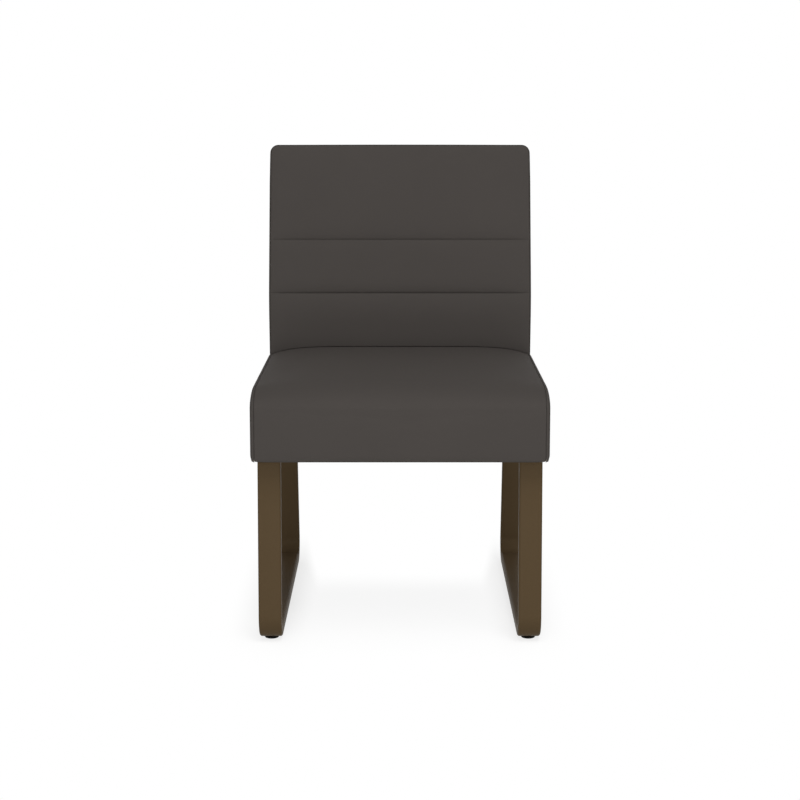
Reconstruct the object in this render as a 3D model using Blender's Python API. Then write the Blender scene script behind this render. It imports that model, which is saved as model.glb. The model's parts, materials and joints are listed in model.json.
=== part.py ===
"""Armless guest chair: an upholstered seat and back on two sled legs of bent tube.

Metres, +Z up. The chair faces -Y and is symmetric about X = 0, and its origin is on the floor, at
the centre of its box. In this script a depth runs back from the seat's front face, and place()
turns it into Y.
"""

import math

import bmesh
import bpy
import numpy as np
from mathutils import Matrix

# Clearance between pieces that touch
GAP = 0.0003

# Seat block, over its cover
SEAT_UNDERSIDE = 0.325
SEAT_SIDE_THICKNESS = 0.120
SEAT_DEPTH = 0.480
SEAT_SEAM_HALF_WIDTH = 0.248
SEAT_SIDE_BULGE = 0.0066
SEAT_SIDE_EASE = 0.010
FRONT_ROLL_DEPTH = 0.074
FRONT_ROLL_HEIGHT = 0.031
SEAT_CROWN_FRONT = 0.007
SEAT_CROWN_REAR = 0.016
SEAT_CROWN_POWER = 7
SEAT_REAR_RADIUS = 0.010

# Back block, over its cover, with the channels' places measured up its face
BACK_LENGTH = 0.530
BACK_THICKNESS = 0.074
BACK_PAST_SEAT = 0.0032
BACK_SIDE_BULGE = 0.0032
BACK_SIDE_EASE = 0.010
BACK_CORNER_RADIUS = 0.014
BACK_RECLINE = math.radians(14.5)
LUMBAR_BEND = 0.222
LUMBAR_RADIUS = 0.300
LOWER_CHANNEL = 0.2392
UPPER_CHANNEL = 0.3441
CHANNEL_PUFF = 0.007
CHANNEL_EASE = 0.008
PUFF_START = 0.142

# Upholstery layers
COVER_THICKNESS = 0.0015
HEM_WIDTH = 0.015
DUST_CLOTH_THICKNESS = 0.0008
DUST_CLOTH_MARGIN = 0.010
FRONT_FOAM = 0.0085
SIDE_FOAM = 0.006

# Webbing
STRAP_WIDTH = 0.050
STRAP_THICKNESS = 0.002
STRAP_HOLD = 0.022
SEAT_STRAP_PITCH = 0.100
BACK_STRAP_PITCH = 0.055

# Wooden frames
SIDE_RAIL_THICKNESS = 0.030
END_RAIL_THICKNESS = 0.028
RAIL_HEIGHT = 0.058
CORNER_BLOCK_LEG = 0.055
STILE_THICKNESS = 0.022
STILE_FOOT_THICKNESS = 0.050
STILE_FOOT_HEIGHT = 0.120
STILE_TAPER_HEIGHT = 0.040
STILE_TOP_MARGIN = 0.012
BACK_RAIL_HEIGHT = 0.060
MIDDLE_RAIL_CENTRE = 0.255
WOOD_EDGE = 0.002

# Sled legs
TUBE_WIDTH = 0.040
TUBE_THICKNESS = 0.020
TUBE_WALL = 0.002
TUBE_EDGE_RADIUS = 0.004
BEND_RADIUS = 0.033
FRONT_LEG_SETBACK = 0.029
FRONT_LEG_LEAN = math.radians(3.0)
REAR_LEG_SETBACK = 0.0046
REAR_LEG_RAKE = math.radians(15.3)
BAR_THICKNESS = 0.005
BAR_OVERHANG = 0.002

# Glides
GLIDE_HEIGHT = 0.0042
GLIDE_RADIUS = 0.0128
GLIDE_FLAT_RADIUS = 0.0088
GLIDE_STEM_RADIUS = 0.0038
GLIDE_BARB_RADIUS = 0.0048
GLIDE_BARB_HEIGHT = 0.004
GLIDE_PAST_BEND = 0.002

# Bolts and the threaded inserts that they turn into
BOLT_RADIUS = 0.004
BOLT_HEAD_RADIUS = 0.0075
BOLT_HEAD_HEIGHT = 0.0055
INSERT_RADIUS = 0.0055
INSERT_LENGTH = 0.018
FRONT_BOLT_DEPTH = 0.085
REAR_BOLT_SETBACK = 0.080
STILE_BOLT_SETBACK = 0.032
BACK_BOLT_X = 0.120
BACK_BOLT_HEIGHT = 0.030

# How finely round forms are cut
ROUND_STEPS = 16
BEND_STEPS = 8
EASE_DEGREES = (0, 30, 60, 90)
ROW_STEP = 0.020
COLUMNS = (-1.0, -0.97, -0.85, -0.5, 0.0, 0.5, 0.85, 0.97, 1.0)

# What follows from the values above
LAYER = COVER_THICKNESS + GAP
BACK_SEAM_HALF_WIDTH = SEAT_SEAM_HALF_WIDTH + BACK_PAST_SEAT
FRAME_HALF_WIDTH = SEAT_SEAM_HALF_WIDTH - LAYER - SIDE_FOAM
SLED_X = FRAME_HALF_WIDTH - SIDE_RAIL_THICKNESS / 2
SEAT_SIDE_HEIGHT = SEAT_UNDERSIDE + SEAT_SIDE_THICKNESS
FRAME_BOTTOM = SEAT_UNDERSIDE + LAYER
RAIL_TOP = FRAME_BOTTOM + RAIL_HEIGHT
DUST_CLOTH_TOP = SEAT_UNDERSIDE - GAP
BAR_TOP = DUST_CLOTH_TOP - DUST_CLOTH_THICKNESS - GAP
BAR_BOTTOM = BAR_TOP - BAR_THICKNESS
LEG_TOP = BAR_BOTTOM - GAP
REAR_LEG_DEPTH = SEAT_DEPTH + BACK_THICKNESS - REAR_LEG_SETBACK
RUNNER_CENTRE = GLIDE_HEIGHT + TUBE_THICKNESS / 2
SEAT_REAR = SEAT_DEPTH - GAP
FRONT_RAIL_FRONT = LAYER + FRONT_FOAM
FRONT_RAIL_REAR = FRONT_RAIL_FRONT + END_RAIL_THICKNESS
REAR_RAIL_REAR = SEAT_REAR - LAYER
REAR_RAIL_FRONT = REAR_RAIL_REAR - END_RAIL_THICKNESS
SIDE_RAIL_INNER = FRAME_HALF_WIDTH - SIDE_RAIL_THICKNESS
CROSS_RAIL_END = SIDE_RAIL_INNER - GAP
STRAP_MIDDLE = RAIL_TOP + GAP + STRAP_THICKNESS / 2
STRAP_WAVE = (STRAP_THICKNESS + GAP) / 2
WEBBING_TOP = STRAP_MIDDLE + STRAP_WAVE + STRAP_THICKNESS / 2
LUMBAR_START = LUMBAR_BEND - LUMBAR_RADIUS * math.tan(BACK_RECLINE / 2)
STILE_REAR = BACK_THICKNESS - LAYER
STILE_FRONT = STILE_REAR - STILE_THICKNESS
STILE_FOOT_FRONT = STILE_REAR - STILE_FOOT_THICKNESS
STILE_TOP = BACK_LENGTH - STILE_TOP_MARGIN
TAPER_TOP = STILE_FOOT_HEIGHT + STILE_TAPER_HEIGHT
BOLT_HOLE = BOLT_RADIUS + GAP
INSERT_HOLE = INSERT_RADIUS + GAP


def back_point(into, along):
    """Depth and height of a point of the back.

    along is measured up the back's front face from its lower edge, and into is measured square to
    that face, towards the rear. The face is upright below the lumbar bend, an arc in the bend and
    straight and reclined above it.
    """
    along = np.asarray(along, float)
    turn = np.clip((along - LUMBAR_START) / LUMBAR_RADIUS, 0, BACK_RECLINE)
    straight = along - LUMBAR_START - turn * LUMBAR_RADIUS
    below = np.minimum(straight, 0)
    above = np.maximum(straight, 0)
    reach = LUMBAR_RADIUS - into
    depth = SEAT_DEPTH + LUMBAR_RADIUS - reach * np.cos(turn) + above * math.sin(BACK_RECLINE)
    height = SEAT_UNDERSIDE + LUMBAR_START + below + reach * np.sin(turn)
    return depth, height + above * math.cos(BACK_RECLINE)


OVERALL_DEPTH = float(back_point(BACK_THICKNESS, BACK_LENGTH)[0])


def place(x, depth, height):
    """Points in the chair's frame, from X, depth behind the seat's front face, and height."""
    x, depth, height = np.broadcast_arrays(x, depth, height)
    return np.stack([x, depth - OVERALL_DEPTH / 2, height], axis=-1).astype(float)


# Building blocks


def clear_scene():
    for obj in list(bpy.data.objects):
        bpy.data.objects.remove(obj)


def finish(name, colour, roughness, metallic=0.0):
    """A plain Principled material."""
    material = bpy.data.materials.new(name)
    material.use_nodes = True
    shader = material.node_tree.nodes["Principled BSDF"]
    shader.inputs["Base Color"].default_value = (*colour, 1.0)
    shader.inputs["Roughness"].default_value = roughness
    shader.inputs["Metallic"].default_value = metallic
    material.diffuse_color = (*colour, 1.0)
    return material


def make_mesh(name, build):
    """A mesh from a function that fills a bmesh, with its faces outward and its round parts smooth."""
    shape = bmesh.new()
    build(shape)
    bmesh.ops.recalc_face_normals(shape, faces=shape.faces)
    mesh = bpy.data.meshes.new(name)
    shape.to_mesh(mesh)
    shape.free()
    mesh.shade_smooth()
    mesh.set_sharp_from_angle(angle=math.radians(35))
    return mesh


def add_part(name, mesh, material, location=(0, 0, 0)):
    """Puts a mesh into the scene as one named sub-part."""
    obj = bpy.data.objects.new(name, mesh)
    obj.location = location
    if not mesh.materials:
        mesh.materials.append(material)
    bpy.context.scene.collection.objects.link(obj)
    return obj


def cut(obj, name, build):
    """Takes a shape out of a sub-part with a Boolean. The cutter stays as a hidden helper."""
    cutter = bpy.data.objects.new(name, make_mesh(name, build))
    bpy.context.scene.collection.objects.link(cutter)
    cutter.hide_render = True
    cutter.display_type = "WIRE"
    modifier = obj.modifiers.new(name, "BOOLEAN")
    modifier.operation = "DIFFERENCE"
    modifier.solver = "EXACT"
    modifier.object = cutter


def add_ring(shape, points):
    return [shape.verts.new(point) for point in points]


def join_rings(shape, first, second, closed=True):
    """A band of four-sided faces between two rows of vertices."""
    count = len(first)
    for i in range(count if closed else count - 1):
        j = (i + 1) % count
        shape.faces.new((first[i], first[j], second[j], second[i]))


def loft(rings):
    """The body through a row of closed outlines, flat at both ends."""

    def build(shape):
        bands = [add_ring(shape, ring) for ring in rings]
        for first, second in zip(bands, bands[1:]):
            join_rings(shape, first, second)
        shape.faces.new(bands[0])
        shape.faces.new(bands[-1])

    return build


def sleeve(outer, inner):
    """The tube between two rows of closed outlines, open at both ends."""

    def build(shape):
        bands = [add_ring(shape, ring) for ring in [*outer, *inner[::-1]]]
        for first, second in zip(bands, bands[1:] + bands[:1]):
            join_rings(shape, first, second)

    return build


def border(grid):
    """The edge of a grid in order: bottom row, right side up, top row back, left side down."""
    right = [row[-1] for row in grid[1:-1]]
    left = [row[0] for row in grid[1:-1]]
    return list(grid[0]) + right + list(grid[-1])[::-1] + left[::-1]


def slab(front, rear, belts=()):
    """The body between two grids of points, with any belts of points that go round between them."""

    def build(shape):
        edges = []
        for points in (front, rear):
            grid = [add_ring(shape, row) for row in points]
            for first, second in zip(grid, grid[1:]):
                join_rings(shape, first, second, closed=False)
            edges.append(border(grid))
        loops = [edges[0], *[add_ring(shape, belt) for belt in belts], edges[1]]
        for first, second in zip(loops, loops[1:]):
            join_rings(shape, first, second)

    return build


def turned(profile, hollow=False):
    """The body turned about Z from (radius, height) points, closed into a ring if it is hollow."""

    def build(shape):
        verts = [shape.verts.new((radius, 0, height)) for radius, height in profile]
        edges = [shape.edges.new(pair) for pair in zip(verts, verts[1:])]
        if hollow:
            edges.append(shape.edges.new((verts[-1], verts[0])))
        bmesh.ops.spin(
            shape,
            geom=verts + edges,
            cent=(0, 0, 0),
            axis=(0, 0, 1),
            angle=2 * math.pi,
            steps=ROUND_STEPS,
            use_merge=True,
        )
        bmesh.ops.remove_doubles(shape, verts=shape.verts, dist=1e-6)

    return build


def block(low, high, edge=0.0):
    """A block between two (x, depth, height) corners, with its edges eased."""
    low, high = place(*low), place(*high)

    def build(shape):
        bmesh.ops.create_cube(shape, size=1)
        bmesh.ops.scale(shape, vec=high - low, verts=shape.verts)
        if edge:
            bmesh.ops.bevel(shape, geom=shape.edges, offset=edge, segments=1, affect="EDGES")
        bmesh.ops.translate(shape, vec=(low + high) / 2, verts=shape.verts)

    return build


def rods(points, radius, length, lying=False):
    """Round bars centred on (x, depth, height) points, upright or lying along the chair's depth."""
    turn = Matrix.Rotation(math.pi / 2 if lying else 0.0, 4, "X")

    def build(shape):
        for point in points:
            bmesh.ops.create_cone(
                shape,
                cap_ends=True,
                segments=ROUND_STEPS,
                radius1=radius,
                radius2=radius,
                depth=length,
                matrix=Matrix.Translation(place(*point)) @ turn,
            )

    return build


def both_sides():
    """The names of the chair's two sides, with the sign of X there."""
    return (("left", -1), ("right", 1))


# Seat upholstery


def seat_crown(x, depth):
    """How far the seat's top stands above its side seams: nearly level across, round near the seams."""
    across = np.clip(1 - np.abs(x / SEAT_SEAM_HALF_WIDTH) ** SEAT_CROWN_POWER, 0, 1)
    back = np.clip((depth - FRONT_ROLL_DEPTH) / (SEAT_DEPTH - FRONT_ROLL_DEPTH), 0, 1)
    rise = (SEAT_CROWN_REAR - SEAT_CROWN_FRONT) * np.sin(back * math.pi / 2)
    return (SEAT_CROWN_FRONT + rise) * across


def seat_outline(x, inset):
    """Depths and heights of the seat's side view, from the lower front edge to the lower rear edge.

    The front roll is a quarter of an ellipse, taller by the crown, and the rear top edge is a
    quarter circle. inset moves every face inwards.
    """
    turn = np.linspace(0, math.pi / 2, BEND_STEPS)
    roll_rise = FRONT_ROLL_HEIGHT + seat_crown(x, FRONT_ROLL_DEPTH) - inset
    roll_depth = FRONT_ROLL_DEPTH - (FRONT_ROLL_DEPTH - inset) * np.cos(turn)
    roll_height = SEAT_SIDE_HEIGHT - FRONT_ROLL_HEIGHT + roll_rise * np.sin(turn)
    radius = max(SEAT_REAR_RADIUS - inset, COVER_THICKNESS)
    top_end = SEAT_REAR - inset - radius
    top_depth = np.linspace(FRONT_ROLL_DEPTH, top_end, 5)[1:]
    top_height = SEAT_SIDE_HEIGHT + seat_crown(x, top_depth) - inset
    turn = np.linspace(0, math.pi / 2, 4)[1:]
    edge_depth = top_end + radius * np.sin(turn)
    edge_height = top_height[-1] - radius * (1 - np.cos(turn))
    low = SEAT_UNDERSIDE + inset
    depth = np.concatenate([[inset], roll_depth, top_depth, edge_depth, [SEAT_REAR - inset]])
    height = np.concatenate([[low], roll_height, top_height, edge_height, [low]])
    return depth, height


def seat_stations():
    """Places across the seat from seam to seam, closer together near the seams."""
    half = SEAT_SEAM_HALF_WIDTH * np.array([0.45, 0.70, 0.85, 0.95, 1.0])
    return np.concatenate([-half[::-1], [0.0], half])


def seat_ring(x, inset):
    """The closed side view of the seat at one X."""
    within = np.clip(x, -SEAT_SEAM_HALF_WIDTH, SEAT_SEAM_HALF_WIDTH)
    return place(x, *seat_outline(within, inset))


def seat_side_rings(layer, side):
    """Outlines that round the seat's side from its seam to its flat, a quarter of an ellipse outwards."""
    rings = []
    for turn in np.radians(EASE_DEGREES):
        inset = SEAT_SIDE_EASE - (SEAT_SIDE_EASE - layer) * math.cos(turn)
        out = GAP + (SEAT_SIDE_BULGE - layer) * math.sin(turn)
        rings.append(seat_ring(side * (SEAT_SEAM_HALF_WIDTH + out), inset))
    return rings


def back_bolt_places():
    height = FRAME_BOTTOM + BACK_BOLT_HEIGHT
    return [(side * BACK_BOLT_X, SEAT_DEPTH, height) for _, side in both_sides()]


def cut_back_bolt_holes(obj):
    """Holes for the bolts from the seat's rear rail into the back."""
    reach = END_RAIL_THICKNESS + BACK_THICKNESS
    cut(obj, f"{obj.name}_bolt_holes", rods(back_bolt_places(), BOLT_HOLE, 2 * reach, lying=True))


def add_seat_cover(vinyl):
    """The waterfall panel: up the front, over the roll and the top and down the rear, hems turned under."""

    def skin(inset):
        rows = []
        for x in seat_stations():
            depth, height = seat_outline(x, inset)
            depth = np.concatenate([[HEM_WIDTH], depth, [SEAT_REAR - HEM_WIDTH]])
            height = np.concatenate([height[:1], height, height[-1:]])
            rows.append(place(x, depth, height))
        return np.array(rows)

    mesh = make_mesh("seat_cover", slab(skin(0.0), skin(COVER_THICKNESS)))
    cut_back_bolt_holes(add_part("seat_cover", mesh, vinyl))


def add_seat_boxing(vinyl):
    """The sewn side panels: shallow trays whose rims meet the waterfall panel at the seams."""
    for label, side in both_sides():
        outer = seat_side_rings(0.0, side)
        inner = seat_side_rings(COVER_THICKNESS, side)
        name = f"seat_boxing_{label}"
        add_part(name, make_mesh(name, loft(outer[::-1] + inner)), vinyl)


def add_seat_foam(foam):
    """The foam block, hollowed underneath to drop over the rails and the webbing."""
    middle = [seat_ring(x, LAYER) for x in seat_stations()]
    left = seat_side_rings(LAYER, -1)[:0:-1]
    right = seat_side_rings(LAYER, 1)[1:]
    obj = add_part("seat_foam", make_mesh("seat_foam", loft(left + middle + right)), foam)
    half = FRAME_HALF_WIDTH + GAP
    low = (-half, FRONT_RAIL_FRONT - GAP, FRAME_BOTTOM - RAIL_HEIGHT)
    high = (half, SEAT_DEPTH + RAIL_HEIGHT, WEBBING_TOP + GAP)
    cut(obj, "seat_foam_pocket", block(low, high))


# Seat frame


def bar_bolt_places(side):
    """Where the bolts of one mounting bar stand: two under the side rail, one under the stile's foot."""
    rear = SEAT_DEPTH - REAR_BOLT_SETBACK
    depths = (FRONT_BOLT_DEPTH, rear, SEAT_DEPTH + STILE_BOLT_SETBACK)
    return [(side * SLED_X, depth, FRAME_BOTTOM) for depth in depths]


def add_seat_frame(wood):
    """Side rails, end rails between them and a glued block in each corner."""
    for label, side in both_sides():
        near, far = sorted((side * SIDE_RAIL_INNER, side * FRAME_HALF_WIDTH))
        name = f"seat_rail_{label}"
        low = (near, FRONT_RAIL_FRONT, FRAME_BOTTOM)
        high = (far, REAR_RAIL_REAR, RAIL_TOP)
        rail = add_part(name, make_mesh(name, block(low, high, WOOD_EDGE)), wood)
        holes = rods(bar_bolt_places(side)[:2], INSERT_HOLE, 2 * (INSERT_LENGTH + GAP))
        cut(rail, f"{name}_holes", holes)
    ends = (
        ("front", FRONT_RAIL_FRONT, FRONT_RAIL_REAR),
        ("rear", REAR_RAIL_FRONT, REAR_RAIL_REAR),
    )
    for end, near, far in ends:
        name = f"seat_rail_{end}"
        low, high = (-CROSS_RAIL_END, near, FRAME_BOTTOM), (CROSS_RAIL_END, far, RAIL_TOP)
        rail = add_part(name, make_mesh(name, block(low, high, WOOD_EDGE)), wood)
        if end == "rear":
            cut_back_bolt_holes(rail)
        inward, face = (1, far + GAP) if end == "front" else (-1, near - GAP)
        legs = CORNER_BLOCK_LEG * np.array([[0, 0], [1, 0], [0, 1]])
        for label, side in both_sides():
            x = side * (CROSS_RAIL_END - legs[:, 0])
            depth = face + inward * legs[:, 1]
            heights = (FRAME_BOTTOM + WOOD_EDGE, RAIL_TOP - WOOD_EDGE)
            name = f"corner_block_{end}_{label}"
            add_part(name, make_mesh(name, loft([place(x, depth, z) for z in heights])), wood)


def spread(low, high, pitch):
    """Evenly spaced strap centres between two inner faces, about a pitch apart."""
    count = int((high - low) / pitch)
    step = (high - low) / count
    return [low + step * (i + 0.5) for i in range(count)]


def strap_run(crossings, over, start, end):
    """Places along a strap and its lift there, over and under its crossings in turn.

    The strap is level on the rail at both ends and across each crossing, and slopes between.
    """
    half = STRAP_WIDTH / 2 + STRAP_THICKNESS
    places, lifts = [start - STRAP_HOLD, start], [0.0, 0.0]
    for centre in crossings:
        places += [centre - half, centre + half]
        lifts += [STRAP_WAVE if over else -STRAP_WAVE] * 2
        over = not over
    return np.array(places + [end, end + STRAP_HOLD]), np.array(lifts + [0.0, 0.0])


def add_seat_webbing(webbing):
    """Interlaced elastic straps, lengthwise ones on the end rails and crosswise ones on the side rails."""
    columns = spread(-SIDE_RAIL_INNER, SIDE_RAIL_INNER, SEAT_STRAP_PITCH)
    rows = spread(FRONT_RAIL_REAR, REAR_RAIL_FRONT, SEAT_STRAP_PITCH)
    across = np.array([[-STRAP_WIDTH / 2], [STRAP_WIDTH / 2]])
    half = STRAP_THICKNESS / 2
    for i, x in enumerate(columns):
        run, lift = strap_run(rows, i % 2 == 0, FRONT_RAIL_REAR, REAR_RAIL_FRONT)
        faces = [place(x + across, run, STRAP_MIDDLE + lift + up) for up in (half, -half)]
        name = f"seat_strap_long_{i + 1}"
        add_part(name, make_mesh(name, slab(*faces)), webbing)
    for j, depth in enumerate(rows):
        run, lift = strap_run(columns, j % 2 == 1, -SIDE_RAIL_INNER, SIDE_RAIL_INNER)
        faces = [place(run, depth + across, STRAP_MIDDLE + lift + up) for up in (half, -half)]
        name = f"seat_strap_cross_{j + 1}"
        add_part(name, make_mesh(name, slab(*faces)), webbing)


def add_dust_cloths(cloth):
    """The black cloths under the seat and under the back, pierced by the mounting bolts."""
    half = SEAT_SEAM_HALF_WIDTH - DUST_CLOTH_MARGIN
    cloths = (
        ("seat_dust_cloth", DUST_CLOTH_MARGIN, SEAT_REAR - DUST_CLOTH_MARGIN, slice(0, 2)),
        (
            "back_dust_cloth",
            SEAT_DEPTH + DUST_CLOTH_MARGIN,
            SEAT_DEPTH + BACK_THICKNESS - DUST_CLOTH_MARGIN,
            slice(2, 3),
        ),
    )
    for name, near, far, bolts in cloths:
        low = (-half, near, DUST_CLOTH_TOP - DUST_CLOTH_THICKNESS)
        sheet = add_part(name, make_mesh(name, block(low, (half, far, DUST_CLOTH_TOP))), cloth)
        points = [point for _, side in both_sides() for point in bar_bolt_places(side)[bolts]]
        cut(sheet, f"{name}_holes", rods(points, BOLT_HOLE, 2 * BAR_THICKNESS))


# Back upholstery


def back_rows():
    """Stations up the back: at every change of form, with longer stretches divided evenly."""
    corner = BACK_CORNER_RADIUS * np.sin(np.radians(EASE_DEGREES))
    knots = [0.0, PUFF_START, LUMBAR_START, LUMBAR_START + LUMBAR_RADIUS * BACK_RECLINE]
    for channel in (LOWER_CHANNEL, UPPER_CHANNEL):
        knots += [channel - CHANNEL_EASE, channel, channel + CHANNEL_EASE]
    knots = sorted(knots) + list(BACK_LENGTH - BACK_CORNER_RADIUS + corner)
    rows = [0.0]
    for knot in knots:
        parts = math.ceil((knot - rows[-1]) / ROW_STEP)
        if knot - rows[-1] > WOOD_EDGE or knot > BACK_LENGTH - BACK_CORNER_RADIUS:
            rows += list(np.linspace(rows[-1], knot, parts + 1)[1:])
    return np.array(rows)


def stations(low, high):
    """The back's stations between two distances up it, with those two."""
    rows = back_rows()
    return np.concatenate([[low], rows[(rows > low) & (rows < high)], [high]])


def channel_puff(across, along):
    """How far the front panel swells between its channels: level in the middle, steep at the edges."""
    edges = (PUFF_START, LOWER_CHANNEL, UPPER_CHANNEL, BACK_LENGTH)
    swell = np.zeros_like(along)
    for low, high in zip(edges, edges[1:]):
        part = 2 * np.clip((along - low) / (high - low), 0, 1) - 1
        swell = np.maximum(swell, np.sqrt(1 - part**4))
    return CHANNEL_PUFF * swell * np.sqrt(1 - across**8)


def back_plane(inset=0.0):
    """The back's outline as a grid: X, distance up the face, and the outward direction at its edge."""
    across, along = np.meshgrid(COLUMNS, np.maximum(back_rows(), inset))
    above = np.clip(along - (BACK_LENGTH - BACK_CORNER_RADIUS), 0, BACK_CORNER_RADIUS)
    turn = np.arcsin(above / BACK_CORNER_RADIUS)
    half = BACK_SEAM_HALF_WIDTH - BACK_CORNER_RADIUS * (1 - np.cos(turn))
    sides = np.where(np.abs(across) == 1, np.sign(across), 0)
    out_x = sides * np.cos(turn)
    out_up = np.where(sides != 0, np.sin(turn), turn > 1)
    return across, across * half, along, out_x, out_up


def back_skin(into, inset=0.0, puffed=False, hem=None):
    """A grid of points on one face of the back, with a hem row turned under it if asked."""
    across, x, along, _, _ = back_plane(inset)
    swell = channel_puff(across, along) if puffed else 0.0
    grid = place(x, *back_point(into - swell, along))
    if hem is None:
        return grid
    return np.concatenate([place(x[:1], *back_point(hem, along[:1])), grid])


def edge_belts(layer):
    """Loops round the back from its front seam to its rear seam, round near both and level between.

    Each is a quarter of an ellipse outwards from the seam, and starts at the lower right corner
    of the border that slab() joins.
    """
    turns = np.radians(EASE_DEGREES)
    into = BACK_SIDE_EASE - (BACK_SIDE_EASE - layer) * np.cos(turns)
    out = GAP + (BACK_SIDE_BULGE - layer) * np.sin(turns)
    _, x, along, out_x, out_up = (np.array(border(g)) for g in back_plane(layer))
    pairs = list(zip(into, out)) + list(zip(BACK_THICKNESS - into[::-1], out[::-1]))
    return [place(x + o * out_x, *back_point(i, along + o * out_up)) for i, o in pairs]


def add_back_cover(vinyl):
    """The front panel, swollen between its sewn channels, with its lower hem turned under."""
    faces = [back_skin(t, t, puffed=True, hem=HEM_WIDTH) for t in (0.0, COVER_THICKNESS)]
    cut_back_bolt_holes(add_part("back_cover", make_mesh("back_cover", slab(*faces)), vinyl))


def add_outside_back(vinyl):
    """The rear panel, with its lower hem turned under."""
    hem = BACK_THICKNESS - HEM_WIDTH
    faces = [back_skin(BACK_THICKNESS - t, t, hem=hem) for t in (0.0, COVER_THICKNESS)]
    add_part("outside_back", make_mesh("outside_back", slab(*faces)), vinyl)


def add_back_boxing(vinyl):
    """One strip up the right side, over the top and down the left side."""
    first = len(COLUMNS) - 1

    def skin(layer):
        return np.array([np.concatenate([b[first:], b[:1]]) for b in edge_belts(layer)])

    mesh = make_mesh("back_boxing", slab(skin(0.0), skin(COVER_THICKNESS)))
    add_part("back_boxing", mesh, vinyl)


# Back frame


def stile_outlines(x_values, margin=0.0, webbing=0.0, rear=STILE_REAR, low=LAYER):
    """The dog-legged side view of the back's frame at each X, its front moved out by a margin."""
    front = STILE_FRONT - margin - webbing
    foot = STILE_FOOT_FRONT - margin
    climb = stations(TAPER_TOP, STILE_TOP + margin)
    into = np.concatenate([[foot, foot], np.full(climb.size, front)])
    along = np.concatenate([[low, STILE_FOOT_HEIGHT], climb])
    into = np.concatenate([into, np.full(into.size, rear)])
    along = np.concatenate([along, along[::-1]])
    return [place(x, *back_point(into, along)) for x in x_values]


def add_back_foam(foam):
    """The foam over the back frame: a slab with lips beside the stiles and over the top rail."""
    front = back_skin(LAYER, LAYER, puffed=True)
    rear = back_skin(BACK_THICKNESS - LAYER, LAYER)
    body = slab(front, rear, edge_belts(LAYER)[1:-1])
    obj = add_part("back_foam", make_mesh("back_foam", body), foam)
    half = FRAME_HALF_WIDTH + GAP
    pocket = stile_outlines(
        (-half, half),
        margin=GAP,
        webbing=STRAP_THICKNESS + GAP,
        rear=BACK_THICKNESS + SIDE_RAIL_THICKNESS,
        low=-RAIL_HEIGHT,
    )
    cut(obj, "back_foam_pocket", loft(pocket))
    cut_back_bolt_holes(obj)


def add_back_frame(wood):
    """Two stiles with wide feet, and three rails between them."""
    for label, side in both_sides():
        name = f"back_stile_{label}"
        outlines = stile_outlines((side * SIDE_RAIL_INNER, side * FRAME_HALF_WIDTH))
        stile = add_part(name, make_mesh(name, loft(outlines)), wood)
        holes = rods(bar_bolt_places(side)[2:], INSERT_HOLE, 2 * (INSERT_LENGTH + GAP))
        cut(stile, f"{name}_hole", holes)
    rails = (
        ("top", STILE_FRONT, STILE_TOP - BACK_RAIL_HEIGHT),
        ("middle", STILE_FRONT, MIDDLE_RAIL_CENTRE - BACK_RAIL_HEIGHT / 2),
        ("bottom", STILE_FOOT_FRONT, LAYER),
    )
    for label, front, low in rails:
        climb = stations(low, low + BACK_RAIL_HEIGHT)
        into = np.repeat([front, STILE_REAR], climb.size)
        side_view = back_point(into, np.concatenate([climb, climb[::-1]]))
        name = f"back_rail_{label}"
        ends = [place(x, *side_view) for x in (-CROSS_RAIL_END, CROSS_RAIL_END)]
        rail = add_part(name, make_mesh(name, loft(ends)), wood)
        if label == "bottom":
            reach = STILE_FOOT_FRONT + INSERT_LENGTH + GAP
            holes = rods(back_bolt_places(), INSERT_HOLE, 2 * reach, lying=True)
            cut(rail, f"{name}_holes", holes)


def add_back_webbing(webbing):
    """Crosswise straps on the stiles' front faces, between the middle and top rails."""
    low = MIDDLE_RAIL_CENTRE + BACK_RAIL_HEIGHT / 2
    high = STILE_TOP - BACK_RAIL_HEIGHT
    reach = SIDE_RAIL_INNER + STRAP_HOLD
    for i, centre in enumerate(spread(low, high, BACK_STRAP_PITCH)):
        along = centre + np.array([[-STRAP_WIDTH / 2], [STRAP_WIDTH / 2]])
        x = np.array([-reach, reach])
        faces = [
            place(x, *back_point(STILE_FRONT - GAP - depth, along))
            for depth in (STRAP_THICKNESS, 0.0)
        ]
        name = f"back_strap_{i + 1}"
        add_part(name, make_mesh(name, slab(*faces)), webbing)


# Sled legs


def sled_corners():
    """Depths and heights of the tube's centre line: front leg top, two corners, rear leg top."""
    drop = LEG_TOP - RUNNER_CENTRE
    half = TUBE_THICKNESS / 2
    front = FRONT_LEG_SETBACK + half / math.cos(FRONT_LEG_LEAN)
    rear = REAR_LEG_DEPTH - half / math.cos(REAR_LEG_RAKE)
    return np.array(
        [
            (front, LEG_TOP),
            (front - drop * math.tan(FRONT_LEG_LEAN), RUNNER_CENTRE),
            (rear + drop * math.tan(REAR_LEG_RAKE), RUNNER_CENTRE),
            (rear, LEG_TOP),
        ]
    )


def bent_path(corners, radius, steps):
    """Points and directions along a line with its corners bent to one radius."""
    points, directions = [corners[0]], [corners[1] - corners[0]]
    for before, corner, after in zip(corners, corners[1:], corners[2:]):
        start = (corner - before) / np.linalg.norm(corner - before)
        end = (after - corner) / np.linalg.norm(after - corner)
        turn = math.acos(float(np.dot(start, end)))
        first = corner - start * radius * math.tan(turn / 2)
        inward = (end - start * math.cos(turn)) / math.sin(turn)
        for angle in np.linspace(0, turn, steps + 1):
            swing = start * math.sin(angle) + inward * (1 - math.cos(angle))
            points.append(first + radius * swing)
            directions.append(start * math.cos(angle) + inward * math.sin(angle))
    points.append(corners[-1])
    directions.append(corners[-1] - corners[-2])
    return points, [d / np.linalg.norm(d) for d in directions]


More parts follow.
